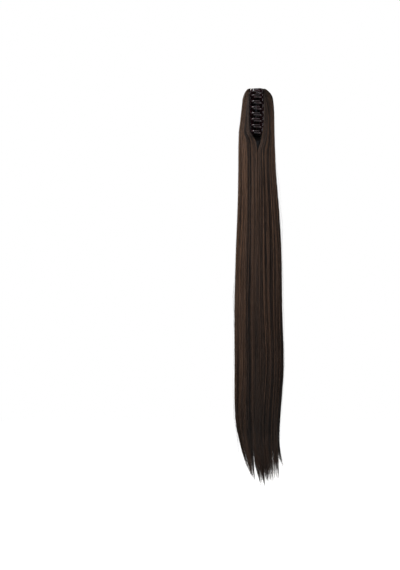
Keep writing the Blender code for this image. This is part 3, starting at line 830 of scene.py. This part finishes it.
def adaptRings(paths, rings):
    # Fewer rows on each path: equal steps of its length plus a share for every bend.
    step = np.diff(paths, axis=1)
    length = np.linalg.norm(step, axis=2)
    heading = step / (length[..., None] + tiny)
    bend = np.arccos(np.clip((heading[:, 1:] * heading[:, :-1]).sum(axis=2), -1.0, 1.0))
    weight = length / length.sum(axis=1, keepdims=True)
    weight[:, 1:] += strands["bendShare"] * bend / 2
    weight[:, :-1] += strands["bendShare"] * bend / 2
    key = np.concatenate([np.zeros((len(paths), 1)), np.cumsum(weight, axis=1)], axis=1)
    key /= key[:, -1:]
    shift = 2.0 * np.arange(len(paths))[:, None]
    aside = strands["ringJitter"]
    even = np.linspace(0.0, 1.0, rings)
    even = even + dice.uniform(-aside, aside, (len(paths), rings)) / (rings - 1)
    even[:, 0], even[:, -1] = 0.0, 1.0
    ask = (even + shift).ravel()
    known = (key + shift).ravel()
    columns = [np.interp(ask, known, paths[..., axis].ravel()) for axis in range(3)]
    return np.stack(columns, axis=-1).reshape(len(paths), rings, 3)


def strandRadii(paths, fine):
    # Full width but for the last stretch, which tapers by a square root to a share of it.
    full = dice.uniform(*strands["radius"], (len(paths), 1)) * fine[:, None]
    left, over = strands["taper"]
    toEnd = (paths[:, :, 2] - paths[:, -1:, 2]) / over
    shape = left + (1.0 - left) * np.sqrt(np.clip(toEnd, 0.0, 1.0))
    shape[:, 0] = strands["rootWidth"]
    return full * shape


def tonesWithShade(paths, tone):
    # Painted shade: a strand is darkened where it is sewn on, in the claw's shadow, and
    # reaches its own tone a little further on; beside the claw it is darkened too.
    # Both shades fall off as exp(-distance).
    away = np.linalg.norm(np.diff(paths, axis=1), axis=2).cumsum(axis=1)
    away = np.concatenate([np.zeros((len(paths), 1)), away], axis=1)
    # painted shade at the sewn end
    darker, over = streaks["rootShade"]
    shaded = tone[:, None] - darker * np.exp(-away / over)
    # painted shade beside the claw's sides and just below it
    darker, over, below = streaks["clawShade"]
    x, y, z = paths[..., 0], paths[..., 1], paths[..., 2]
    apart = np.hypot(x, y - claw["centreY"]) - jawRadius(z) - claw["wall"] / 2
    apart = np.hypot(np.maximum(apart, 0.0), np.maximum(claw["bottom"] - below - z, 0.0))
    return shaded - darker * np.exp(-apart / over)


loose = {
    "count": 560,
    "rings": 10,
    "radius": (0.05, 0.10),
    "stand": (2.0, 6.5),  # mm off the tail: mean and most
    "sides": (180.0, 0.0, 30.0),  # the two sides in degrees, and the spread about them
    "anywhere": 0.25,  # share that isn't at the sides
    "top": (-470.0, -60.0),
    "length": (70.0, 190.0),
    "free": (0.4, 1.4),  # share whose end is free, and the power of their curve
    "reach": 0.985,
    "sway": (0.05, 2, 6),  # radians, least and most waves in radians
    "swayPhase": 6.28,
    "tone": (0.50, 0.12),
}


def loosePaths():
    # Single hairs that leave the tail's surface for a stretch, most of them at its sides.
    count = loose["count"]
    left, right, spread = loose["sides"]
    turn = np.where(dice.random(count) < 0.5, dice.normal(left, spread, count),
                    dice.normal(right, spread, count))
    turn = np.where(dice.random(count) < loose["anywhere"], dice.uniform(0, 360, count), turn)
    turn = np.radians(turn)
    top = dice.uniform(*loose["top"], count)
    length = dice.uniform(*loose["length"], count)
    along = np.linspace(0.0, 1.0, loose["rings"])[None, :]
    z = top[:, None] - along * length[:, None]
    mean, most = loose["stand"]
    stand = np.minimum(dice.exponential(mean, count), most)
    share, power = loose["free"]
    free = dice.random(count)[:, None] < share
    shape = np.where(free, along**power, np.sin(np.pi * along))
    wide, deep = formAt(z)[2:]
    size = np.hypot(wide * np.cos(turn)[:, None], deep * np.sin(turn)[:, None])
    reach = loose["reach"] + stand[:, None] * shape / size
    far, *waves = loose["sway"]
    sway = far * np.sin(along * dice.uniform(*waves, (count, 1))
                        + dice.uniform(0, loose["swayPhase"], (count, 1)))
    return lanePoint(turn[:, None] + sway, reach, z)


def rideHair(piece, side):
    # Left pieces go with the left half; the others stay where they are, their transform baked in.
    if side == "left":
        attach(piece, "left_half")
    else:
        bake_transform(piece)


def sewnStrands(name, side, rings, paths, tone, fine, hair):
    # One piece of strands: its rows thinned out, then a width and a tone for each.
    paths = adaptRings(paths, rings)
    radii = strandRadii(paths, fine)
    rideHair(strandMesh(name, paths, radii, tonesWithShade(paths, tone), hair), side)


def makeStrands(hair):
    # The crest's strands are split in two pieces a side, every other strand in each.
    for side in ("left", "right"):
        made = crestPaths(side, clumpSet(side))
        for part in range(2):
            half = [values[part::2] for values in made]
            sewnStrands(f"hair_strands_{side}_{part + 1}", side, strands["rings"], *half, hair)
        sewnStrands(f"hair_front_{side}", side, rails["rings"], *railPaths(side), hair)
    paths = loosePaths()
    each = (len(paths), 1)
    radii = np.repeat(dice.uniform(*loose["radius"], each), loose["rings"], axis=1)
    tone = np.repeat(dice.normal(*loose["tone"], each), loose["rings"], axis=1)
    rideHair(strandMesh("hair_loose", paths, radii, tone, hair), "left")


def gridIndex(rows, columns):
    return np.arange(rows * columns).reshape(rows, columns)


def gridFaces(index):
    # The faces between the rows of a grid of points, each row closing on itself.
    after = np.roll(index, -1, axis=1)
    return np.stack([index[:-1], index[1:], after[1:], after[:-1]], axis=-1).reshape(-1, 4)


backing = {
    "margin": 2.5,  # degrees inside both ends of the strands' span
    "sections": 72,
    "crestRows": 13,
    "wallRows": 13,
    "thick": 0.80,  # shares of the wall's thickness and of its crest
    "crest": 0.94,
    "ripple": (0.5, 24.0),  # mm, and half waves a radian
    "tone": (0.10, 0.2),
}


def sewnBacking(side, material):
    # The backing under the sewn strands: the wall's section, an oval from its outer to its
    # inner face, carried round the pin. One row of the grid is one such oval.
    low, high = sewnHair[side]["span"]
    closes = hairForm["crestShare"]
    margin = backing["margin"]
    phi = np.linspace(low + margin, high - margin, backing["sections"])[:, None]
    crest = np.radians(np.linspace(0, 180, backing["crestRows"]))
    outer = np.linspace(0.0, closes, backing["wallRows"] + 1)[:-1]
    top = closes + (1 - closes) * backing["crest"] * np.sin(crest)
    share = np.concatenate([outer, top, outer[::-1]])[None, :]
    across = np.concatenate([np.ones(len(outer)), np.cos(crest), -np.ones(len(outer))])[None, :]
    phiRow, share = np.broadcast_arrays(phi, share)
    z, middle, half = sewnWall(side, phiRow, share)
    deep, often = backing["ripple"]
    ripple = deep * np.abs(np.sin(np.radians(phiRow) * often)) * (across > 0)
    radius = middle + half * backing["thick"] * across - ripple
    points = aroundPin(np.radians(phiRow), radius, z)
    index = gridIndex(*points.shape[:2])
    pairs = index.shape[1] // 2
    start, more = backing["tone"]
    uv = np.stack([start + more * (phiRow - low) / (high - low), mapHeight(z)], axis=-1)
    caps = []
    for row, flip in ((0, False), (-1, True)):
        left, right = index[row, :pairs], index[row, ::-1][:pairs]
        strip = np.stack([left[:-1], left[1:], right[1:], right[:-1]], axis=-1)
        caps.append(strip[:, ::-1] if flip else strip)
    return newPiece(f"hair_backing_{side}", points.reshape(-1, 3), [gridFaces(index)] + caps,
                    material, uv.reshape(-1, 2))


# The core under the tail's strands, in millimetres and shares of the tail's section.
core = {
    "sides": 120,
    "top": ((-47.0, 0.30), (-47.5, 0.55), (-50.0, 0.70), (-56.0, 0.78), (-66.0, 0.83)),  # z, share
    "body": (-560.0, 46, 0.87),  # down to z, rows, share of the tail's section
    "close": (-570.0, -628.0, 10),  # from z, to z, rows
    "closeShare": (0.88, 0.05, 0.99),  # share, and how far along a quarter ellipse
    "tip": 1.0,
    "flutes": (0.035, 19.0),  # how deep, half waves a radian
    "fluteSway": (0.6, 120.0),
    "bend": (12.0, 90.0, 1.6),  # mm aside at the tip, over how many mm, power
    "shade": (0.04, 0.06, 0.22),  # tone at the top, more below, more between the flutes
    "shadeFall": 60.0,
    "tipTone": 0.2,
}


def tailCore(material):
    # The middle of the tail: the section's ellipse with fine flutes, opening below the V
    # and closing to a point above the tips.
    turn = np.linspace(0, 2 * np.pi, core["sides"], endpoint=False)
    topZ, topSize = np.transpose(core["top"])
    bodyEnd, bodyRows, bodySize = core["body"]
    closeSize, *closeTurn = core["closeShare"]
    z = np.concatenate([topZ, np.linspace(topZ[-1], bodyEnd, bodyRows)[1:],
                        np.linspace(*core["close"])])
    close = closeSize * np.sqrt(1 - np.linspace(*closeTurn, core["close"][2]) ** 2)
    size = np.concatenate([topSize, np.full(bodyRows - 1, bodySize), close])
    turnRow, zRow = np.broadcast_arrays(turn[None, :], z[:, None])
    deep, often = core["flutes"]
    sway, length = core["fluteSway"]
    flute = 1.0 - deep * np.abs(np.sin(turnRow * often + sway * np.sin(zRow / length)))
    rings = lanePoint(turnRow, size[:, None] * flute, zRow)
    bend, over, power = core["bend"]
    rings[..., 0] += bend * np.clip((lockTable["freeZ"] - zRow) / over, 0, 1) ** power
    points, quads, fans = closedTube(rings)
    points[-1, 2] -= core["tip"]
    dark, lighter, between = core["shade"]
    fade = smoothstep((topZ[-1] - zRow) / core["shadeFall"])
    shade = dark + (lighter + between * np.abs(np.sin(turnRow * often))) * fade
    uv = np.stack([shade, mapHeight(zRow)], axis=-1).reshape(-1, 2)
    tips = np.stack([np.full(2, core["tipTone"]), mapHeight(points[-2:, 2])], axis=-1)
    return newPiece("hair_tail_core", points, [quads, fans], material, np.concatenate([uv, tips]))


def makeBacking(hair):
    for side in ("left", "right"):
        piece = sewnBacking(side, hair)
        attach(piece, sewnHair[side]["body"])
        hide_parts(f"hair_{side}")
    piece = tailCore(hair)
    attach(piece, "left_half")
    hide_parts("hair_tail")


# The claw's parts, in millimetres, as the right half has them.
clawForm = {
    "backTurn": 62.0,  # the side wall's edge by the hinge, degrees from +X
    "wallRows": 40,
    "wallColumns": 16,
    "rimRound": 0.7,
    "rimRows": 7,
    "roundRows": (0.12, 5),  # close rows of a rounded end: first angle, how many
    "bands": {  # top, bottom, and how far round each end band reaches
        "left": (40.0, 34.4, -114.0),
        "right": (33.4, 30.0, -98.0),
    },
    "bandInside": 6.0,  # degrees that it starts inside the side wall
    "bandRows": 26,
    "bandRound": 0.9,
    "bandLow": 0.75,  # share of its height left where it rounds off
    "firstTooth": {"left": 27.9, "right": 24.3},
    "toothPitch": 10.77,
    "toothCount": 7,
    "toothTurns": (-4.0, -116.0),  # from its root to its tip
    "toothHalfThick": (0.9, 0.38),  # at the root, and the share lost at the tip
    "toothHalfHeight": (1.9, 0.95, 1.3),  # at the root, at the tip, power
    "toothRound": (0.97, 0.032),  # from which share it rounds off, and over how much
    "toothRows": 20,
    "toothLastRows": (0.985, 0.995, 1.0),
    "toothSides": 14,
    "barrel": (1.2, 3.1, 3.7, 0.35),  # bore, outer radius, height, bevel
    "barrelSides": 40,
    "barrelBottoms": {"left": (6.0, -13.7), "right": (10.0, -9.7)},
    "web": (1.6, 6.6, 2.6, 3.33, 11.0, 0.5),  # from x, to x, thick, high, at y, corner
    "lever": ((6.2, 9.8), (8.0, 20.0), (11.6, 34.4)),
    "leverHalfThick": (1.0, 0.2),  # and the share left at its end
    "leverHalfHeight": (12.0, 0.72, 0.28),  # mm, share at the root, the rest
    "leverGrow": 0.40,  # share of its length over which it grows
    "leverEnd": (0.55, 0.50),  # from which share its outline rounds off, and how long
    "leverRound": (0.96, 0.042),  # and the same for its thickness
    "leverSection": (1.0, 1.0, 0.999, 7),  # half thick, half high, corner, steps a quarter
    "leverRows": 26,
    "leverLastRows": (0.975, 0.99, 1.0),
    "sharpEdge": 50,  # degrees
}


def closedTube(rings):
    # Rings of equal length along a path, the ends closed by fans round their middles.
    count, sides = rings.shape[:2]
    points = np.concatenate([rings.reshape(-1, 3), [rings[0].mean(0)], [rings[-1].mean(0)]])
    index = gridIndex(count, sides)
    first, last = index[0], index[-1]
    startFan = np.stack([np.full(sides, count * sides), first, np.roll(first, -1)], axis=-1)
    endFan = np.stack([np.full(sides, count * sides + 1), np.roll(last, -1), last], axis=-1)
    return points, gridFaces(index), np.concatenate([startFan, endFan])


def outward(points, quads, triangles):
    # Turns the faces round if the volume that they enclose comes out negative.
    solid = np.concatenate([quads[:, [0, 1, 2]], quads[:, [0, 2, 3]], triangles])
    a, b, c = (points[solid[:, corner]] for corner in range(3))
    if np.einsum("ij,ij->i", a, np.cross(b, c)).sum() < 0:
        return points, quads[:, ::-1], triangles[:, ::-1]
    return points, quads, triangles


def joinShapes(shapes):
    # One mesh from several closed shapes, each as points, quads and triangles.
    points, quads, triangles, base = [], [], [], 0
    for shape in shapes:
        some, four, three = outward(*shape)
        points.append(some)
        quads.append(four + base)
        triangles.append(three + base)
        base += len(some)
    return np.concatenate(points), [np.concatenate(quads), np.concatenate(triangles)]


def flatSection(halfWide, halfHigh, corner, steps=4):
    # A rectangle with rounded corners, as offsets across and along its height.
    quarters = [np.linspace(start, start + 90, steps) for start in (0, 90, 180, 270)]
    turns = np.radians(np.concatenate(quarters))
    signs = np.repeat(np.array([(1, 1), (-1, 1), (-1, -1), (1, -1)]), steps, axis=0)
    across = signs[:, 0] * (halfWide - corner) + corner * np.cos(turns)
    height = signs[:, 1] * (halfHigh - corner) + corner * np.sin(turns)
    return across, height


def jawFrame(turn, z):
    # The middle of the jaw's wall at an angle from its own side, and the way out there.
    angle = np.radians(turn)
    out = np.stack([np.cos(angle), np.sin(angle), np.zeros_like(angle)], axis=-1)
    centre = np.stack([0 * z, claw["centreY"] + 0 * z, z], axis=-1)
    return out * jawRadius(z)[..., None] + centre, out


def endRound(share, length, radius):
    # Full in the middle, closing as a quarter circle over the last radius at both ends.
    near = np.clip(np.minimum(share, 1 - share) * length / radius, 0, 1)
    return np.sqrt(1 - (1 - near) ** 2)


def roundedSteps(count, length, radius):
    # Shares along a length with a few close rows where its ends are rounded.
    start, rows = clawForm["roundRows"]
    close = radius / length * (1 - np.cos(np.linspace(start, np.pi / 2, rows)))
    inner = np.linspace(close[-1], 1 - close[-1], count)[1:-1]
    return np.concatenate([close, inner, 1 - close[::-1]])


def jawWallShape():
    # The side wall: a rounded strip as thick as the wall, carried from top to bottom.
    high, low = claw["top"], claw["bottom"]
    shares = roundedSteps(clawForm["wallRows"], high - low, clawForm["rimRound"])
    z = high + shares * (low - high)
    shrink = endRound(shares, high - low, clawForm["rimRound"])
    front, back, columns = claw["edgeTurn"], clawForm["backTurn"], clawForm["wallColumns"]
    turnRow = np.linspace(back, front, columns)
    edge = np.radians(np.linspace(90, -90, clawForm["rimRows"]))[1:-1]
    halfWall = claw["wall"] / 2
    rimTurn = np.degrees(halfWall / claw["radius"])
    turns = np.concatenate([turnRow, front - rimTurn * np.cos(edge),
                            turnRow[::-1], back + rimTurn * np.cos(edge)])
    across = np.concatenate([np.ones(columns), np.sin(edge), -np.ones(columns), -np.sin(edge)])
    turnGrid, zGrid = np.broadcast_arrays(turns[None, :], z[:, None])
    middle, out = jawFrame(turnGrid, zGrid)
    return closedTube(middle + out * (across * halfWall)[None, :, None] * shrink[:, None, None])


def bandShape(side):
    # The end band: a rounded bar whose section is carried round from the wall to its tip.
    top, bottom, reach = clawForm["bands"][side]
    start = claw["edgeTurn"] + clawForm["bandInside"]
    length = math.radians(start - reach) * jawRadius(np.array(top))
    shares = roundedSteps(clawForm["bandRows"], length, clawForm["bandRound"])
    turns = start + shares * (reach - start)
    across, height = flatSection(claw["wall"] / 2, (top - bottom) / 2, clawForm["rimRound"])
    shrink = endRound(shares, length, clawForm["bandRound"])[:, None]
    low = clawForm["bandLow"]
    z = (top + bottom) / 2 + height[None, :] * (low + (1 - low) * shrink)
    turnGrid = np.broadcast_to(turns[:, None], z.shape)
    middle, out = jawFrame(turnGrid, z)
    return closedTube(middle + out * (across[None, :] * shrink)[..., None])


def toothShape(side, number):
    # A curved bar with an oval section, tall at its root and slim at its rounded tip.
    height = clawForm["firstTooth"][side] - clawForm["toothPitch"] * number
    root, tip = clawForm["toothTurns"]
    rounds, over = clawForm["toothRound"]
    shares = np.linspace(0, rounds, clawForm["toothRows"])
    shares = np.concatenate([shares, clawForm["toothLastRows"]])
    turns = root + (tip - root) * shares
    tall, slim, power = clawForm["toothHalfHeight"]
    thick, lost = clawForm["toothHalfThick"]
    close = np.sqrt(1 - np.clip((shares - rounds) / over, 0, 1) ** 2)
    halfHigh = (slim + (tall - slim) * (1 - shares) ** power) * close
    halfThick = thick * (1 - lost * shares**2) * close
    angle = np.linspace(0, 2 * np.pi, clawForm["toothSides"], endpoint=False)
    z = height + halfHigh[:, None] * np.sin(angle)[None, :]
    middle, out = jawFrame(np.broadcast_to(turns[:, None], z.shape), np.full_like(z, height))
    points = middle + out * (halfThick[:, None] * np.cos(angle)[None, :])[..., None]
    points[..., 2] = z
    return closedTube(points)


def leverShape():
    # A thumb plate along a quadratic curve, its height growing and then rounding off.
    root, middle, tip = (np.array(point) for point in clawForm["lever"])
    control = 2 * middle - 0.5 * (root + tip)
    rounds, over = clawForm["leverRound"]
    share = np.linspace(0, rounds, clawForm["leverRows"])
    share = np.concatenate([share, clawForm["leverLastRows"]])
    plan = (((1 - share) ** 2)[:, None] * root + (2 * share * (1 - share))[:, None] * control
            + (share**2)[:, None] * tip)
    along = unit(np.gradient(plan, axis=0))
    side = np.stack([along[:, 1], -along[:, 0]], axis=-1)
    ends, length = clawForm["leverEnd"]
    past = np.maximum(share - ends, 0) / length
    high, least, more = clawForm["leverHalfHeight"]
    grown = least + more * smoothstep(share / clawForm["leverGrow"])
    half = high * grown * np.sqrt(1 - past**2)
    close = np.sqrt(1 - np.clip((share - rounds) / over, 0, 1) ** 2)
    thick, left = clawForm["leverHalfThick"]
    thick = thick * (left + (1 - left) * close)
    across, height = flatSection(*clawForm["leverSection"])
    edge = np.clip((1 - np.abs(height)) * half[:, None], 0, 1)
    body = np.sign(across)[None, :] * np.sqrt(1 - (1 - edge) ** 2)
    ring = plan[:, None, :] + side[:, None, :] * (thick[:, None] * body)[..., None]
    return closedTube(np.concatenate([ring, (half[:, None] * height[None, :])[..., None]], axis=-1))


def barrelShape(bottom):
    # A knuckle: a bevelled rectangle turned round the pin.
    bore, outer, height, bevel = clawForm["barrel"]
    radius, up = np.array([(bore, 0), (outer - bevel, 0), (outer, bevel), (outer, height - bevel),
                           (outer - bevel, height), (bore, height)]).T
    turn = np.linspace(0, 2 * np.pi, clawForm["barrelSides"], endpoint=False)[:, None]
    points = aroundPin(turn, radius, bottom + up)
    index = gridIndex(*points.shape[:2])
    after = np.roll(index, -1, axis=0)
    quads = np.stack([index, after, np.roll(after, -1, axis=1), np.roll(index, -1, axis=1)], axis=-1)
    return points.reshape(-1, 3), quads.reshape(-1, 4), np.empty((0, 3), dtype=int)


def webShape(bottom):
    # The bar between a knuckle and its lever.
    start, end, thick, high, y, corner = clawForm["web"]
    across, height = flatSection(thick / 2, high / 2, corner)
    middle = bottom + clawForm["barrel"][2] / 2
    x = np.array((start, end))[:, None]
    return closedTube(np.stack(np.broadcast_arrays(x, y + across, middle + height), axis=-1))


def makeJaw(side, material):
    shapes = [jawWallShape(), bandShape(side), leverShape()]
    shapes += [toothShape(side, number) for number in range(clawForm["toothCount"])]
    for bottom in clawForm["barrelBottoms"][side]:
        shapes += [barrelShape(bottom), webShape(bottom)]
    mirror = np.array((-1.0 if side == "left" else 1.0, 1.0, 1.0))
    points, faces = joinShapes([(points * mirror, *faces) for points, *faces in shapes])
    piece = newPiece(f"claw_jaw_{side}", points, faces, material)
    piece.data.set_sharp_from_angle(angle=math.radians(clawForm["sharpEdge"]))
    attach(piece, sewnHair[side]["body"])
    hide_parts(f"jaw_{side}")


hingeForm = {
    "wire": (0.4, 10),  # radius, sides
    "coil": (2.3, 5.0, 8.6),  # radius, turns, length
    "coilRows": 150,
    "legEnd": (7.0, 23.6),
    "legRows": 8,
    "pinRadius": 0.9,
    "pinHalf": 14.0,
    "head": ((1.9, 0.0), (1.9, 0.25), (1.7, 0.6), (1.2, 0.8), (0.02, 0.8)),  # radius, height
    "pinSides": 32,
    "sharpEdge": 40,
}


def roundTube(path, radius, sides):
    # A round tube along a path, its rings turned by the path's own frame.
    along = unit(np.gradient(path, axis=0))
    first = unit(np.cross(along, (0.03, 0.05, 1.0)))
    second = np.cross(along, first)
    angle = np.linspace(0, 2 * np.pi, sides, endpoint=False)
    rings = path[:, None, :] + radius * (np.cos(angle)[None, :, None] * first[:, None, :]
                                         + np.sin(angle)[None, :, None] * second[:, None, :])
    return closedTube(rings)


def makeSpring(material):
    # A coil round the pin, with a straight leg from each end out to a lever.
    radius, turns, length = hingeForm["coil"]
    turn = np.linspace(0, 2 * np.pi * turns, hingeForm["coilRows"])
    half = length / 2
    coil = aroundPin(-turn, radius, half - 2 * half * turn / turn[-1])
    legX, legY = hingeForm["legEnd"]
    share = np.linspace(0, 1, hingeForm["legRows"])[:-1, None]
    topLeg = np.array((legX, legY, half)) * (1 - share) + coil[0] * share
    endLeg = (np.array((-legX, legY, -half)) * (1 - share) + coil[-1] * share)[::-1]
    path = np.concatenate([topLeg, coil, endLeg])
    points, faces = joinShapes([roundTube(path, *hingeForm["wire"])])
    spring = newPiece("claw_spring", points, faces, material)
    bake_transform(spring)
    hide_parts("torsion_spring")


def makePin(material):
    # Half of the pin's outline, mirrored to its other end and turned round its axis.
    reach, radius = hingeForm["pinHalf"], hingeForm["pinRadius"]
    head = [(wide, reach + up) for wide, up in hingeForm["head"]]
    upper = np.array([(radius, reach)] + head)
    profile = np.concatenate([upper[::-1] * (1, -1), upper])
    turn = np.linspace(0, 2 * np.pi, hingeForm["pinSides"], endpoint=False)
    rings = aroundPin(turn, profile[:, :1], profile[:, 1:])
    points, faces = joinShapes([closedTube(rings)])
    pin = newPiece("claw_pin", points, faces, material)
    pin.data.set_sharp_from_angle(angle=math.radians(hingeForm["sharpEdge"]))
    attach(pin, "left_half")
    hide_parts("hinge_pin")


clawFinish = {
    "tones": ((0.35, (0.0036, 0.0026, 0.0030)), (0.68, (0.0220, 0.0070, 0.0082))),
    "mottle": (90.0, 4.0),  # noise scale and detail
    "fine": (1400.0, 2.0),
    "gloss": (0.12, 0.26),  # roughness from, to
    "relief": (0.05, 0.0002),  # bump strength and distance
    "specular": 0.38,
}
steelFinish = {
    "plain": ((0.10, 0.10, 0.115), 0.35, 0.5, 1.0),  # colour, roughness, specular, metallic
    "fine": (900.0, 3.0),
    "gloss": (0.28, 0.5),
    "relief": (0.15, 0.0001),
}


def surfaceNoise(tree, scale, detail):
    # A noise over the piece's own coordinates.
    place = addNode(tree, "ShaderNodeTexCoord")
    noise = addNode(tree, "ShaderNodeTexNoise", Scale=scale, Detail=detail)
    tree.links.new(place.outputs["Object"], noise.inputs["Vector"])
    return noise


def fineSurface(tree, shader, finish):
    # A fine noise gives the surface its uneven gloss and its relief.
    noise = surfaceNoise(tree, *finish["fine"])
    gloss = addNode(tree, "ShaderNodeMapRange")
    gloss.inputs["To Min"].default_value, gloss.inputs["To Max"].default_value = finish["gloss"]
    tree.links.new(noise.outputs[0], gloss.inputs["Value"])
    tree.links.new(gloss.outputs["Result"], shader.inputs["Roughness"])
    strength, distance = finish["relief"]
    bump = addNode(tree, "ShaderNodeBump", Strength=strength, Distance=distance)
    tree.links.new(noise.outputs[0], bump.inputs["Height"])
    tree.links.new(bump.outputs["Normal"], shader.inputs["Normal"])


def plasticMaterial():
    # Dark red-brown plastic, slightly uneven in depth of colour and in gloss.
    material, tree, shader = nodeMaterial("clawPlastic", clawFinish["tones"][0][1],
                                          clawFinish["gloss"][0], clawFinish["specular"])
    mottle = surfaceNoise(tree, *clawFinish["mottle"])
    tones = rampNode(tree, clawFinish["tones"])
    tree.links.new(mottle.outputs[0], tones.inputs[0])
    tree.links.new(tones.outputs[0], shader.inputs["Base Color"])
    fineSurface(tree, shader, clawFinish)
    return material


def steelMaterial():
    # Drawn spring wire, with a few dull spots.
    material, tree, shader = nodeMaterial("springSteel", *steelFinish["plain"])
    fineSurface(tree, shader, steelFinish)
    return material


def makeClaw():
    plastic = plasticMaterial()
    for side in ("left", "right"):
        makeJaw(side, plastic)
    steel = steelMaterial()
    makeSpring(steel)
    makePin(steel)


makeCamera()
makeStudio()
hairFibre = hairMaterial("hairFibre")
makeStrands(hairFibre)
print("strands made")
makeBacking(hairFibre)
print("backing made")
makeClaw()
print("claw made")
